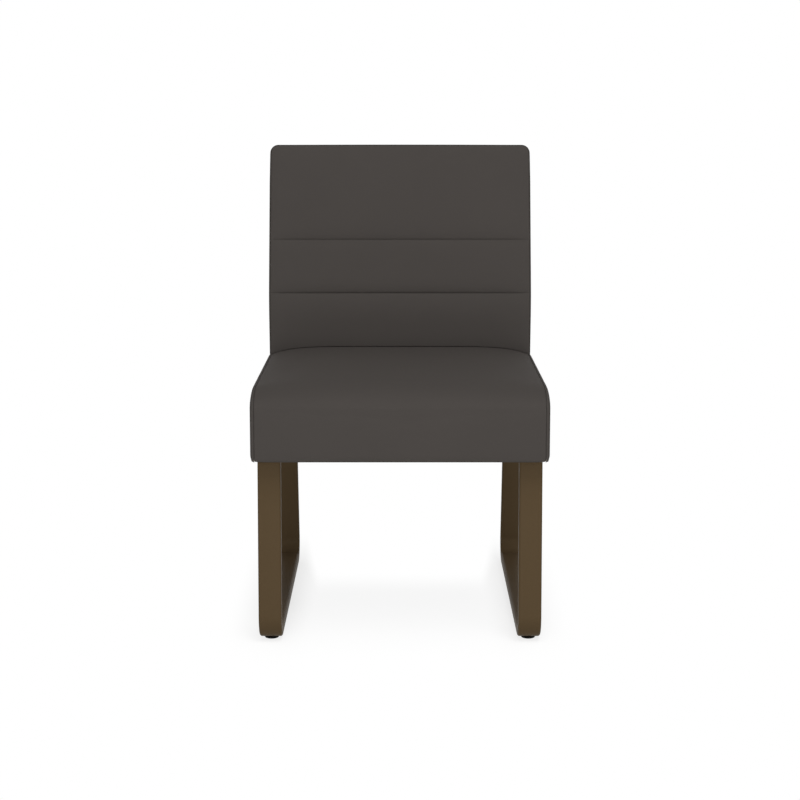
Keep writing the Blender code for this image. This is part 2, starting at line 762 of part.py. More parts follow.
def rounded_section(width, thickness, radius, steps=3):
    """A rectangle with round corners, as points across and through the tube."""
    points = []
    for corner in range(4):
        side_x = 1 if corner in (0, 3) else -1
        side_y = 1 if corner in (0, 1) else -1
        for turn in np.linspace(0, math.pi / 2, steps + 1):
            angle = corner * math.pi / 2 + turn
            x = side_x * (width / 2 - radius) + radius * math.cos(angle)
            y = side_y * (thickness / 2 - radius) + radius * math.sin(angle)
            points.append((x, y))
    return np.array(points)


def tube_outlines(section):
    """The tube's section at each point of the sled's path, cut level at the two tops."""
    points, directions = bent_path(sled_corners(), BEND_RADIUS, BEND_STEPS)
    rings = []
    for index, (point, direction) in enumerate(zip(points, directions)):
        across = np.array([-direction[1], direction[0]])
        offsets = section[:, 1:] * across
        if index in (0, len(points) - 1):
            offsets = offsets - direction * (offsets[:, 1:] / direction[1])
        spots = point + offsets
        rings.append(place(section[:, 0], spots[:, 0], spots[:, 1]))
    return rings


def glide_depths():
    """Where the glides stand: just past the front bend and just before the rear one."""
    corners = sled_corners()
    front_turn = math.pi / 2 + FRONT_LEG_LEAN
    rear_turn = math.pi / 2 + REAR_LEG_RAKE
    front = corners[1, 0] + BEND_RADIUS * math.tan(front_turn / 2) + GLIDE_PAST_BEND
    rear = corners[2, 0] - BEND_RADIUS * math.tan(rear_turn / 2) - GLIDE_PAST_BEND
    return {"front": front, "rear": rear}


def add_sleds(bronze):
    """The two bent tubes, with holes for the glides' stems in the underside."""
    outer = rounded_section(TUBE_WIDTH, TUBE_THICKNESS, TUBE_EDGE_RADIUS)
    inside = TUBE_WIDTH - 2 * TUBE_WALL, TUBE_THICKNESS - 2 * TUBE_WALL
    inner = rounded_section(*inside, TUBE_EDGE_RADIUS - TUBE_WALL)
    mesh = make_mesh("sled", sleeve(tube_outlines(outer), tube_outlines(inner)))
    reach = GLIDE_HEIGHT + TUBE_WALL + GLIDE_BARB_HEIGHT
    for label, side in both_sides():
        sled = add_part(f"sled_{label}", mesh, bronze, (side * SLED_X, 0, 0))
        points = [(side * SLED_X, depth, 0.0) for depth in glide_depths().values()]
        holes = rods(points, GLIDE_STEM_RADIUS + GAP, 2 * reach)
        cut(sled, f"sled_{label}_holes", holes)


def add_mount_bars(bronze):
    """Flat bars across the two tops of each sled, drilled for the bolts."""
    near = FRONT_LEG_SETBACK - BAR_OVERHANG
    far = REAR_LEG_DEPTH + BAR_OVERHANG
    for label, side in both_sides():
        x = side * SLED_X
        low = (x - TUBE_WIDTH / 2, near, BAR_BOTTOM)
        high = (x + TUBE_WIDTH / 2, far, BAR_TOP)
        name = f"mount_bar_{label}"
        bar = add_part(name, make_mesh(name, block(low, high, BAR_THICKNESS / 5)), bronze)
        cut(bar, f"{name}_holes", rods(bar_bolt_places(side), BOLT_HOLE, 6 * BAR_THICKNESS))


def add_glides(nylon):
    """Domed glides, each with a barbed stem pushed through the tube's lower wall."""
    turns = np.radians((0, 30, 60, 90))
    dome_height = GLIDE_HEIGHT - 4 * GAP
    dome = [
        (
            GLIDE_FLAT_RADIUS + (GLIDE_RADIUS - GLIDE_FLAT_RADIUS) * math.sin(turn),
            dome_height * (1 - math.cos(turn)),
        )
        for turn in turns
    ]
    wall_top = GLIDE_HEIGHT + TUBE_WALL + GAP
    profile = [
        (0, 0),
        *dome,
        (GLIDE_RADIUS, GLIDE_HEIGHT - GAP),
        (GLIDE_STEM_RADIUS, GLIDE_HEIGHT - GAP),
        (GLIDE_STEM_RADIUS, wall_top),
        (GLIDE_BARB_RADIUS, wall_top),
        (GLIDE_STEM_RADIUS, wall_top + GLIDE_BARB_HEIGHT),
        (0, wall_top + GLIDE_BARB_HEIGHT),
    ]
    mesh = make_mesh("glide", turned(profile))
    for end, depth in glide_depths().items():
        for label, side in both_sides():
            add_part(f"glide_{end}_{label}", mesh, nylon, place(side * SLED_X, depth, 0.0))


# Bolts


def bolt_mesh(name, length):
    """A flange-headed bolt along Z, its head below the surface at zero and its shank above."""
    chamfer = BOLT_HEAD_HEIGHT / 4
    profile = [
        (0, -GAP - BOLT_HEAD_HEIGHT),
        (BOLT_HEAD_RADIUS - chamfer, -GAP - BOLT_HEAD_HEIGHT),
        (BOLT_HEAD_RADIUS, -GAP - BOLT_HEAD_HEIGHT + chamfer),
        (BOLT_HEAD_RADIUS, -GAP),
        (BOLT_RADIUS, -GAP),
        (BOLT_RADIUS, length - chamfer),
        (BOLT_RADIUS - chamfer, length),
        (0, length),
    ]
    return make_mesh(name, turned(profile))


def add_fasteners(zinc):
    """Bolts up through the mounting bars, bolts from the seat into the back, and their inserts."""
    bore = [
        (BOLT_HOLE, 0),
        (INSERT_RADIUS, 0),
        (INSERT_RADIUS, INSERT_LENGTH),
        (BOLT_HOLE, INSERT_LENGTH),
    ]
    insert = make_mesh("insert", turned(bore, hollow=True))
    bar_bolt = bolt_mesh("bar_bolt", FRAME_BOTTOM + INSERT_LENGTH - BAR_BOTTOM)
    for label, side in both_sides():
        for spot, (x, depth, height) in zip(("front", "rear", "stile"), bar_bolt_places(side)):
            add_part(f"leg_bolt_{spot}_{label}", bar_bolt, zinc, place(x, depth, BAR_BOTTOM))
            add_part(f"leg_insert_{spot}_{label}", insert, zinc, place(x, depth, height))
    insert_depth = SEAT_DEPTH + STILE_FOOT_FRONT
    back_bolt = bolt_mesh("back_bolt", insert_depth + INSERT_LENGTH - REAR_RAIL_FRONT)
    for (label, _), (x, _, height) in zip(both_sides(), back_bolt_places()):
        bolt = add_part(f"back_bolt_{label}", back_bolt, zinc, place(x, REAR_RAIL_FRONT, height))
        sleeve_part = add_part(
            f"back_insert_{label}", insert, zinc, place(x, insert_depth, height)
        )
        for obj in (bolt, sleeve_part):
            obj.rotation_euler = (-math.pi / 2, 0, 0)


def main():
    clear_scene()
    vinyl = finish("charcoal_vinyl", (0.070, 0.063, 0.058), 0.55)
    foam = finish("foam", (0.80, 0.74, 0.55), 0.95)
    webbing = finish("elastic_webbing", (0.10, 0.10, 0.11), 0.85)
    cloth = finish("black_cloth", (0.015, 0.015, 0.016), 0.95)
    wood = finish("hardwood", (0.55, 0.38, 0.22), 0.6)
    bronze = finish("bronze_powder_coat", (0.090, 0.062, 0.034), 0.45, 0.3)
    nylon = finish("black_nylon", (0.012, 0.012, 0.012), 0.5)
    zinc = finish("zinc_plate", (0.60, 0.60, 0.58), 0.35, 1.0)
    add_sleds(bronze)
    add_mount_bars(bronze)
    add_glides(nylon)
    add_fasteners(zinc)
    add_seat_frame(wood)
    add_seat_webbing(webbing)
    add_seat_foam(foam)
    add_seat_cover(vinyl)
    add_seat_boxing(vinyl)
    add_dust_cloths(cloth)
    add_back_frame(wood)
    add_back_webbing(webbing)
    add_back_foam(foam)
    add_back_cover(vinyl)
    add_back_boxing(vinyl)
    add_outside_back(vinyl)


main()
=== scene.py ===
"""The armless guest chair, dressed: vinyl panels, bent sled tubes, glides, dust cloths and finishes.

Metres, +Z up, the chair facing -Y. A depth runs back from the seat's front face, and place() turns
it into Y, as in the part's own source.
"""

import json
import math

import bpy
import numpy as np
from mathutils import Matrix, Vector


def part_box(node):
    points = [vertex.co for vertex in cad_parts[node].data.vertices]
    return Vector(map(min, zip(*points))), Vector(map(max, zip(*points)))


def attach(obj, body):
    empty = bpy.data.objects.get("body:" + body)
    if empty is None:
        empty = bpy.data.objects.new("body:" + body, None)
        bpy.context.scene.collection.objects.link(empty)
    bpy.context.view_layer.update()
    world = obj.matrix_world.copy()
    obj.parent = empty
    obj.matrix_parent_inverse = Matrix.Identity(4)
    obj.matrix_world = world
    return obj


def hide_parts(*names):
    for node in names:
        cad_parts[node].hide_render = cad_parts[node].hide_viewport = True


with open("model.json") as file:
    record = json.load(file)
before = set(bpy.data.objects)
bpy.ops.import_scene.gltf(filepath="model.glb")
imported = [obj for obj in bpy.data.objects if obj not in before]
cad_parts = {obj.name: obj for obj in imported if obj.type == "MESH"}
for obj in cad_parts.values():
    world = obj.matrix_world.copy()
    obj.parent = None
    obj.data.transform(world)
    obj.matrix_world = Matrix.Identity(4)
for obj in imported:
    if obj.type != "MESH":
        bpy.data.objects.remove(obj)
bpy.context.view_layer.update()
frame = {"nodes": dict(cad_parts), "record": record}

# The chair's sizes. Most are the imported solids' own. The height of the seat's side seams, its side
# bulge, roll and crown, the start of the back's pillows and the glides' flat are this scene's.
OVERALL_DEPTH = 0.628937
GAP = 0.0003
COVER = 0.0015
SEAT_UNDERSIDE = 0.325
SEAT_SIDE_HEIGHT = 0.4465
SEAT_REAR = 0.4797
SEAT_SEAM = 0.248
SEAT_SIDE_BULGE = 0.0073
SEAT_SIDE_EASE = 0.007
ROLL_DEPTH = 0.074
ROLL_HEIGHT = 0.0325
ROLL_BREAK = 0.2
CROWN_FRONT = 0.0055
CROWN_REAR = 0.0145
CROWN_POWER = 7
SEAT_REAR_RADIUS = 0.010
BACK_FRONT = 0.480
BACK_LENGTH = 0.530
BACK_THICKNESS = 0.074
BACK_SEAM = 0.2512
BACK_SIDE_BULGE = 0.0032
BACK_SIDE_EASE = 0.010
BACK_CORNER = 0.014
RECLINE = math.radians(14.5)
LUMBAR_RADIUS = 0.300
LUMBAR_START = 0.222 - LUMBAR_RADIUS * math.tan(RECLINE / 2)
CHANNELS = (0.2392, 0.3441)
PUFF_START = 0.090
REST_LIFT = 0.0005
REST_TOP = 0.140
CHANNEL_PUFF = 0.007
SLED_X = 0.2252
TUBE_WIDTH = 0.040
TUBE_THICKNESS = 0.020
TUBE_WALL = 0.002
TUBE_EDGE = 0.004
BEND_RADIUS = 0.033
LEG_TOP = 0.3183
RUNNER_CENTRE = 0.0142
FRONT_LEG = (0.029, math.radians(3.0))
REAR_LEG = (0.5494, math.radians(15.3))
GLIDE_HEIGHT = 0.0042
GLIDE_RADIUS = 0.0128
GLIDE_FLAT = 0.0100
GLIDE_STEM = 0.0038
GLIDE_BARB = 0.001
GLIDE_BARB_HEIGHT = 0.004
BOLT_RADIUS = 0.004
BOLT_HEAD_RADIUS = 0.0075
BOLT_HEAD_HEIGHT = 0.0055

# How the panels are sewn and stretched
SEAM_ROUND = 0.0012
FRONT_DROP = 0.0013
FRONT_DROP_POWER = 40
ROLL_ARC = 0.088
BULGE_BLEND = 5.0
SEAM_LAP = 0.0010
SEAM_TUCK = 0.00045
SEAM_CLEAR = 0.002
TOP_CLEAR = 0.005
TOP_RISE = 0.80
TOP_FALL = 0.28
SIDE_RISE = 0.85
CORNER_RISE = 0.6
RISE_STATIONS = (0.115, 0.235, 0.46)
FOOT_RISE = 0.57
HEM = 0.015
HEM_ROUND = 0.0018
HEM_START = 0.0186
HEM_STEP = 0.0006
HEM_SHARE = 0.6
HEM_STUB = 0.0008
HEM_LIFT = 0.1
SEAM_STEPS = np.array([0.0, 0.15, 0.4, 0.75, 1.0, 1.6])
CHANNEL_STEPS = np.array([0.0003, 0.0008, 0.0016, 0.0028])
PANEL_PITCH = 0.0075
BOXING_PITCH = 0.0035
REST_PITCH = 0.0012
REST_FINE = (0.108, REST_TOP + 0.001)
EVEN_SHARE = 0.98
SIDE_EVEN_SHARE = 0.94
SIDE_SEAM_HEIGHT = 0.1
CLOTH_PITCH = 0.006
CLOTH_FRAMES = 20
CLOTH_QUALITY = 6
CLOTH_STIFFNESS = 15
SEAT_SLACK = 0.002
SEAT_SLACK_ENDS = 0.03
SEAT_PRESSURE = 6.0
SEAT_SWELL = 0.0020
BACK_SLACK = 0.5
BACK_PRESSURE = 12.0
BACK_SWELL = 0.0015
PLUMP_BLEND = 0.0004

# Fastenings
SOCKET_WIDTH = 0.005
SOCKET_SHARES = (0.3, 1.0, 1.06)
SOCKET_DEPTHS = (0.0034, 0.0030, 0.0002)
BOLT_CROWN = 0.62
BOLT_TIP = 0.0008
EDGE_BREAK = 0.0003
BEAD = 0.0022
BEAD_RIPPLE = 0.0004
STAPLE_LENGTH = 0.010
STAPLE_WIRE = 0.0009
STAPLE_PITCH = 0.045
STAPLE_INSET = 0.006
DUST_PITCH = 0.008
DUST_THICKNESS = 0.0003
DUST_GAP = 0.0001
DUST_CLEAR = 0.19

# The photograph's frame and camera
PHOTO_SIZE = 800
FOCAL_PIXELS = 1889.0
SENSOR = 36.0
CAMERA_DEPTH = -3.1568
CAMERA_HEIGHT = 0.9366
CAMERA_PITCH = math.radians(9.083)

# How bright the world and the floor are, and where the floor shows the chair's shadow
WORLD_LIGHT = 0.36
FLOOR_GLOW = 0.76
FLOOR_BOUNCE = 0.90
FLOOR_SEEN = 0.36
SHADOW_CENTRES = (-0.10, 0.04)
SHADOW_HALF_DEPTHS = (0.31, 0.52)
SHADOW_FADE = 0.45
SHADOW_MIDDLE = 0.50
SHADOW_BESIDE = (0.155, 0.205)
SHADOW_OUTSIDE = (0.235, 0.320)
FLOOR_HALF = 30.0


def place(x, depth, height):
    """Points in the chair's frame: (X, depth - half the overall depth, height)."""
    x, depth, height = np.broadcast_arrays(x, depth, height)
    return np.stack([x, depth - OVERALL_DEPTH / 2, height], axis=-1)


def back_point(into, along):
    """Depth and height of a point of the back, into it from its front face and along that face.

    Below the lumbar bend: (front + into, underside + along). In the bend: on a circle of the
    lumbar radius less into. Above it: straight, leaning back by the recline.
    """
    turn = np.clip((along - LUMBAR_START) / LUMBAR_RADIUS, 0, RECLINE)
    straight = along - LUMBAR_START - turn * LUMBAR_RADIUS
    reach = LUMBAR_RADIUS - into
    above = np.maximum(straight, 0)
    depth = BACK_FRONT + LUMBAR_RADIUS - reach * np.cos(turn) + above * math.sin(RECLINE)
    height = SEAT_UNDERSIDE + LUMBAR_START + np.minimum(straight, 0) + reach * np.sin(turn)
    return depth, height + above * math.cos(RECLINE)


# Meshes


def grid_faces(rows, columns, round_rows=False, round_columns=False):
    """Corner numbers of each cell of a grid, which may close on itself either way."""
    row = np.arange(rows if round_rows else rows - 1)
    column = np.arange(columns if round_columns else columns - 1)
    row, column = np.meshgrid(row, column, indexing="ij")
    up, right = (row + 1) % rows, (column + 1) % columns
    corners = (row * columns + column, row * columns + right, up * columns + right, up * columns + column)
    return np.stack(corners, axis=-1).reshape(-1, 4)


def put_mesh(name, points, faces, smooth=True):
    """A mesh object at the origin from an array of points and a list of faces."""
    mesh = bpy.data.meshes.new(name)
    mesh.from_pydata(points.reshape(-1, 3).tolist(), [], [list(face) for face in faces])
    mesh.polygons.foreach_set("use_smooth", [smooth] * len(mesh.polygons))
    mesh.update()
    obj = bpy.data.objects.new(name, mesh)
    bpy.context.scene.collection.objects.link(obj)
    return obj


def outward(grid, faces, core):
    """The faces, turned so that on the whole they look away from a core point."""
    corner = grid.reshape(-1, 3)[faces]
    normal = np.cross(corner[:, 2] - corner[:, 0], corner[:, 3] - corner[:, 1])
    away = corner.mean(axis=1) - np.asarray(core)
    return faces[:, ::-1] if np.sum(normal * away) < 0 else faces


def face_side(obj):
    """Turns a closed mesh the right way out, by the sign of its volume."""
    mesh = obj.data
    points = np.empty(len(mesh.vertices) * 3)
    mesh.vertices.foreach_get("co", points)
    points = points.reshape(-1, 3)
    mesh.calc_loop_triangles()
    corners = np.empty(len(mesh.loop_triangles) * 3, int)
    mesh.loop_triangles.foreach_get("vertices", corners)
    a, b, c = points[corners.reshape(-1, 3)].transpose(1, 0, 2)
    if np.sum(a * np.cross(b, c)) < 0:
        mesh.flip_normals()


def sharpen(obj, degrees):
    """Marks edges sharper than an angle, so that flats and rounds shade apart."""
    obj.data.set_sharp_from_angle(angle=math.radians(degrees))


def capped(grid):
    """Faces of a grid that closes round its columns, with one more face over each end ring."""
    rows, steps = grid.shape[:2]
    faces = [list(face) for face in grid_faces(rows, steps, round_columns=True)]
    return faces + [list(range(steps))[::-1], [(rows - 1) * steps + i for i in range(steps)]]


def repeated(faces, size, count):
    """The faces of one piece, for each of a number of copies of its points."""
    return [[corner + number * size for corner in face] for number in range(count) for face in faces]


def turned_points(radius, height, centre, angle):
    """Points at a radius and a height, turned by an angle about the vertical through a centre."""
    x, y = centre[0] + radius * np.cos(angle), centre[1] + radius * np.sin(angle)
    return np.stack(np.broadcast_arrays(x, y, centre[2] + height), axis=-1)


def closed_piece(name, grid, degrees):
    """A mesh that closes round its columns and over both ends, with sharp edges past an angle."""
    obj = put_mesh(name, grid, capped(grid))
    face_side(obj)
    sharpen(obj, degrees)
    return obj


def dress(obj, material):
    """Gives a piece its material, and lets it ride on the chair's one body."""
    obj.data.materials.clear()
    obj.data.materials.append(material)
    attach(obj, "root")
    return obj


def panel(name, grid, core, material):
    """A sewn panel: the grid is its outside, and its thickness goes inwards."""
    faces = outward(grid, grid_faces(*grid.shape[:2]), core)
    obj = put_mesh(name, grid, faces)
    solid = obj.modifiers.new("thickness", "SOLIDIFY")
    solid.thickness = COVER
    solid.offset = -1.0
    smooth = obj.modifiers.new("smooth", "SUBSURF")
    smooth.levels = smooth.render_levels = 1
    return dress(obj, material)


def rounding(distance, radius):
    """How far a panel falls away at a distance from its seam: a quarter circle of that radius."""
    within = 1 - np.clip(distance / radius, 0, 1)
    return radius * (1 - np.sqrt(np.clip(1 - within**2, 0, 1)))


def spaced(low, high, pitch):
    """Even steps from low to high, no longer than the pitch."""
    return np.linspace(low, high, max(2, math.ceil((high - low) / pitch) + 1))


def merged(*parts):
    """Sorted places without near doubles."""
    values = np.sort(np.concatenate(parts))
    keep = np.concatenate([[True], np.diff(values) > 1e-5])
    return values[keep]


def with_marks(values, marks, apart):
    """Steps that keep clear of the marks by a distance, and then the marks themselves."""
    free = np.abs(values[:, None] - np.asarray(marks)[None, :]).min(axis=1) > apart
    return merged(values[free], np.asarray(marks))


def lapped(values, unit=1.0):
    """Places with one more beyond either end, for a seam allowance that laps under the next panel.

    The second array is how far each place lies below the panel for it.
    """
    below = np.zeros(len(values) + 2)
    below[[0, -1]] = SEAM_TUCK
    lap = SEAM_LAP / unit
    return np.concatenate([values[:1] - lap, values, values[-1:] + lap]), below


# Stretching a panel over its foam


def facing(grid, core):
    """Unit normals of a grid, as the cross product of its row and column steps, away from a core."""
    normal = np.cross(np.gradient(grid, axis=0), np.gradient(grid, axis=1))
    normal = normal / np.maximum(np.linalg.norm(normal, axis=-1, keepdims=True), 1e-12)
    return -normal if np.sum(normal * (grid - np.asarray(core))) < 0 else normal


def swell(shape, held, core, pressure):
    """How far outwards each point of a panel moves when its foam pushes it.

    The grid of points is stretched by Blender's Cloth under a steady pressure, with the held
    points kept still, and the movement along each point's normal comes back.
    """
    faces = outward(shape, grid_faces(*shape.shape[:2]), core)
    sheet = put_mesh("stretching", shape, faces)
    group = sheet.vertex_groups.new(name="held")
    group.add(np.flatnonzero(held.ravel()).tolist(), 1.0, "REPLACE")
    cloth = sheet.modifiers.new("cloth", "CLOTH")
    settings = cloth.settings
    settings.vertex_group_mass = "held"
    settings.use_pressure = True
    settings.uniform_pressure_force = pressure
    settings.effector_weights.gravity = 0
    settings.quality = CLOTH_QUALITY
    settings.tension_stiffness = settings.compression_stiffness = CLOTH_STIFFNESS
    settings.bending_stiffness = 1.0
    cloth.point_cache.frame_start = 1
    cloth.point_cache.frame_end = CLOTH_FRAMES
    for step in range(1, CLOTH_FRAMES + 1):
        bpy.context.scene.frame_set(step)
    graph = bpy.context.evaluated_depsgraph_get()
    moved = np.empty(shape.size)
    sheet.evaluated_get(graph).data.vertices.foreach_get("co", moved)
    bpy.data.objects.remove(sheet)
    bpy.context.scene.frame_set(1)
    shift = moved.reshape(shape.shape) - shape
    return np.sum(shift * facing(shape, core), axis=-1)


def plump(cloth, foam, most):
    """A panel's height over its seams: the foam's, and what the cloth stands above it.

    The difference d counts as (d + sqrt(d^2 + k^2)) / 2, which is never below nought, and then as
    most * tanh(d / most).
    """
    over = cloth - foam
    over = (over + np.sqrt(over**2 + PLUMP_BLEND**2)) / 2
    return foam + most * np.tanh(over / most)


def resample(values, rows, columns, to_rows, to_columns):
    """Values worked out on one grid, read off on another by straight interpolation."""
    i = np.interp(to_rows, rows, np.arange(len(rows)))[:, None]
    j = np.interp(to_columns, columns, np.arange(len(columns)))[None, :]
    i0 = np.minimum(i.astype(int), len(rows) - 2)
    j0 = np.minimum(j.astype(int), len(columns) - 2)
    near = values[i0, j0] * (1 - j + j0) + values[i0, j0 + 1] * (j - j0)
    far = values[i0 + 1, j0] * (1 - j + j0) + values[i0 + 1, j0 + 1] * (j - j0)
    return near * (1 - i + i0) + far * (i - i0)


# Seat


def between_seams(x):
    """One midway across the seat and nought at its side seams: 1 - |x / seam|^power."""
    return np.clip(1 - np.abs(x / SEAT_SEAM) ** CROWN_POWER, 0, 1)


def seat_crown(x, depth):
    """Rise of the seat's top over its side seams: crown(depth) * (1 - |x / seam|^power)."""
    across = between_seams(x)
    back = np.clip((depth - ROLL_DEPTH) / (BACK_FRONT - ROLL_DEPTH), 0, 1)
    return (CROWN_FRONT + (CROWN_REAR - CROWN_FRONT) * np.sin(back * math.pi / 2)) * across


def seat_lengths():
    """Arc lengths at which the seat's side view changes form, from the front hem to the rear one."""
    corner = HEM_ROUND * math.pi / 2
    front = SEAT_SIDE_HEIGHT - ROLL_HEIGHT - SEAT_UNDERSIDE - HEM_ROUND
    top = SEAT_REAR - SEAT_REAR_RADIUS - ROLL_DEPTH
    rear = SEAT_SIDE_HEIGHT - SEAT_REAR_RADIUS - SEAT_UNDERSIDE - HEM_ROUND
    parts = [HEM, corner, front, ROLL_ARC, top, SEAT_REAR_RADIUS * math.pi / 2, rear, corner, HEM]
    return np.concatenate([[0], np.cumsum(parts)])


def seat_surface(v, x, inset=0.0):
    """The waterfall panel at arc length v and X, moved inwards by inset.

    Stretch by stretch: level hem, quarter circle, upright front, the roll, top at side height plus
    crown, quarter circle, upright rear, quarter circle, level hem. The roll is a quarter of
    |depth / a|^n + |height / b|^2 = 1, where n falls from 2 at the seams towards the middle, so that
    it breaks from the top more sharply there. Between the seams, the front hem hangs lower by the
    drop.
    """
    v, x, inset = np.broadcast_arrays(v, x, inset)
    knots = seat_lengths()
    t = [np.clip((v - a) / (b - a), 0, 1) for a, b in zip(knots, knots[1:])]
    quarter = math.pi / 2
    low = SEAT_UNDERSIDE + inset
    hanging = np.clip(1 - np.abs(x / SEAT_SEAM) ** FRONT_DROP_POWER, 0, 1)
    low = low - FRONT_DROP * (v < knots[3]) * hanging
    roll_power = 2 / (2 - ROLL_BREAK * between_seams(x))
    roll_height = ROLL_HEIGHT + seat_crown(x, ROLL_DEPTH) - inset
    roll_foot = SEAT_SIDE_HEIGHT - ROLL_HEIGHT
    top_depth = ROLL_DEPTH + t[4] * (SEAT_REAR - SEAT_REAR_RADIUS - ROLL_DEPTH)
    top_height = SEAT_SIDE_HEIGHT + seat_crown(x, top_depth) - inset
    rear = SEAT_REAR - inset
    edge = SEAT_REAR_RADIUS - inset
    edge_foot = top_height - edge
    r = HEM_ROUND
    depth = np.select(
        [v < k for k in knots[1:]],
        [
            HEM + r + inset - t[0] * HEM,
            inset + r * (1 - np.sin(t[1] * quarter)),
            inset,
            ROLL_DEPTH - (ROLL_DEPTH - inset) * np.cos(t[3] * quarter) ** roll_power,
            top_depth,
            rear - edge + edge * np.sin(t[5] * quarter),
            rear,
            rear - r * (1 - np.cos(t[7] * quarter)),
            rear - r - t[8] * HEM,
        ],
        rear - r - HEM,
    )
    height = np.select(
        [v < k for k in knots[1:]],
        [
            low,
            low + r * (1 - np.cos(t[1] * quarter)),
            low + r + t[2] * (roll_foot - low - r),
            roll_foot + roll_height * np.sin(t[3] * quarter),
            top_height,
            edge_foot + edge * np.cos(t[5] * quarter),
            edge_foot - t[6] * (edge_foot - low - r),
            low + r - r * np.sin(t[7] * quarter),
            low,
        ],
        low,
    )
    return place(x, depth, height)


def make_seat_panel(vinyl):
    """The waterfall panel of the seat, stretched over its foam between the side seams."""
    knots = seat_lengths()
    core = (0, -0.05, 0.39)
    rows = with_marks(spaced(0, knots[-1], CLOTH_PITCH), knots, apart=0.0025)
    columns = spaced(-SEAT_SEAM, SEAT_SEAM, CLOTH_PITCH)
    loose = (rows > knots[2]) & (rows < knots[5])

    def slack(x):
        ends = np.clip(np.minimum(rows - knots[2], knots[5] - rows) / SEAT_SLACK_ENDS, 0, 1)
        return SEAT_SLACK * between_seams(x) * (ends * (2 - ends))[:, None]

    held = ~(loose[:, None] & (np.abs(columns) < SEAT_SEAM - 1e-6)[None, :])
    sheet = seat_surface(rows[:, None], columns[None, :], slack(columns[None, :]))
    height = plump(swell(sheet, held, core, SEAT_PRESSURE) - slack(columns[None, :]), 0.0, SEAT_SWELL)
    height = height * ~held
    near = SEAT_SEAM - SEAM_STEPS * SEAM_ROUND
    fine, below = lapped(merged(columns[np.abs(columns) < near[-1] - SEAM_CLEAR], near, -near))
    dip = (rounding(SEAT_SEAM - np.abs(fine), SEAM_ROUND) + below)[None, :]
    inset = dip - resample(height, rows, columns, rows, fine)
    obj = panel("seat_panel", seat_surface(rows[:, None], fine[None, :], inset), core, vinyl)
    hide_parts("seat_cover")


def seat_side_outline():
    """Depths and heights of the side panel's sewn edge: front, roll, level top and rear corner."""
    knots = seat_lengths()
    points = seat_surface(np.linspace(knots[2], knots[6], 400), SEAT_SEAM)
    return points[:, 1] + OVERALL_DEPTH / 2, points[:, 2]


def make_seat_side(label, side, vinyl):
    """A side panel of the seat, sewn to the waterfall panel and drawn under the frame.

    Over depth and height, X is the seam plus bulge * sqrt(1 - (1 - e / ease)^2). There e is
    (a^-n + b^-n)^(-1/n), with a the distance to the outline and b the height over the underside.
    Near the seam the panel falls away into it. At its foot it turns under on a quarter circle and
    runs inwards as a level hem.
    """
    edge_depth, edge_height = seat_side_outline()
    fine = SEAM_STEPS * SEAM_ROUND
    turn = np.linspace(0, math.pi / 2, 10)[1:-1]
    roll = ROLL_DEPTH * (1 - np.cos(turn))
    corner = SEAT_REAR - SEAT_REAR_RADIUS * (1 - np.sin(turn))
    middle = spaced(ROLL_DEPTH, SEAT_REAR - SEAT_REAR_RADIUS, PANEL_PITCH)
    cuts = np.array([HEM_START, HEM_START + HEM_STEP])
    depths = merged(fine, roll[roll > 0.004], middle, corner, SEAT_REAR - fine, cuts, SEAT_REAR - cuts)
    top = np.interp(depths, edge_depth, edge_height)
    top[0] = SEAT_SIDE_HEIGHT - ROLL_HEIGHT
    low = SEAT_UNDERSIDE
    foot = low + HEM_ROUND
    share = merged(np.linspace(0, SIDE_EVEN_SHARE, 19), 1 - fine / SIDE_SEAM_HEIGHT)[:, None]
    height = foot + share * (top - foot)
    depth = depths + 0 * height
    to_edge = np.hypot(depth[..., None] - edge_depth, height[..., None] - edge_height).min(axis=-1)
    to_edge = np.minimum(to_edge, np.minimum(depth, SEAT_REAR - depth))
    to_edge[-1] = 0
    limits = np.stack([to_edge, height - low])
    reach = np.sum(np.maximum(limits, 1e-6) ** -BULGE_BLEND, axis=0) ** (-1 / BULGE_BLEND)
    bulge = SEAT_SIDE_BULGE * np.sqrt(1 - (1 - np.clip(reach / SEAT_SIDE_EASE, 0, 1)) ** 2)
    dip = rounding(depth, SEAM_ROUND) - rounding(SEAT_REAR - depth, SEAM_ROUND)
    x = SEAT_SEAM + GAP + bulge
    wall = place(side * x, depth + dip, height - rounding(to_edge, SEAM_ROUND))
    angle = np.linspace(math.pi / 2, 0, 6)[:-1, None]
    spare = x[:1] - SEAT_SEAM - GAP / 3
    across = np.minimum(HEM_ROUND, HEM_SHARE * spare)
    under = x[:1] - across * (1 - np.sin(angle))
    turned = place(side * under, (depth + dip)[:1], foot - HEM_ROUND * np.cos(angle))[::-1]
    hemmed = (depths > HEM_START) & (depths < SEAT_REAR - HEM_START)
    run = np.linspace(1, 0, 5)[:-1, None] * np.where(hemmed, HEM, spare - across)
    hem = place(side * (x[:1] - across - run), (depth + dip)[:1], low)
    grid = np.concatenate([hem, turned, wall[1:]])
    obj = panel(f"seat_side_panel_{label}", grid, (0, -0.05, 0.39), vinyl)
    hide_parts(f"seat_boxing_{label}")


# Back


def back_half(along):
    """Half the back's width at its seams: full, less the corner circle near the top."""
    above = np.clip(along - (BACK_LENGTH - BACK_CORNER), 0, BACK_CORNER)
    return BACK_SEAM - BACK_CORNER + np.sqrt(np.maximum(BACK_CORNER**2 - above**2, 0))


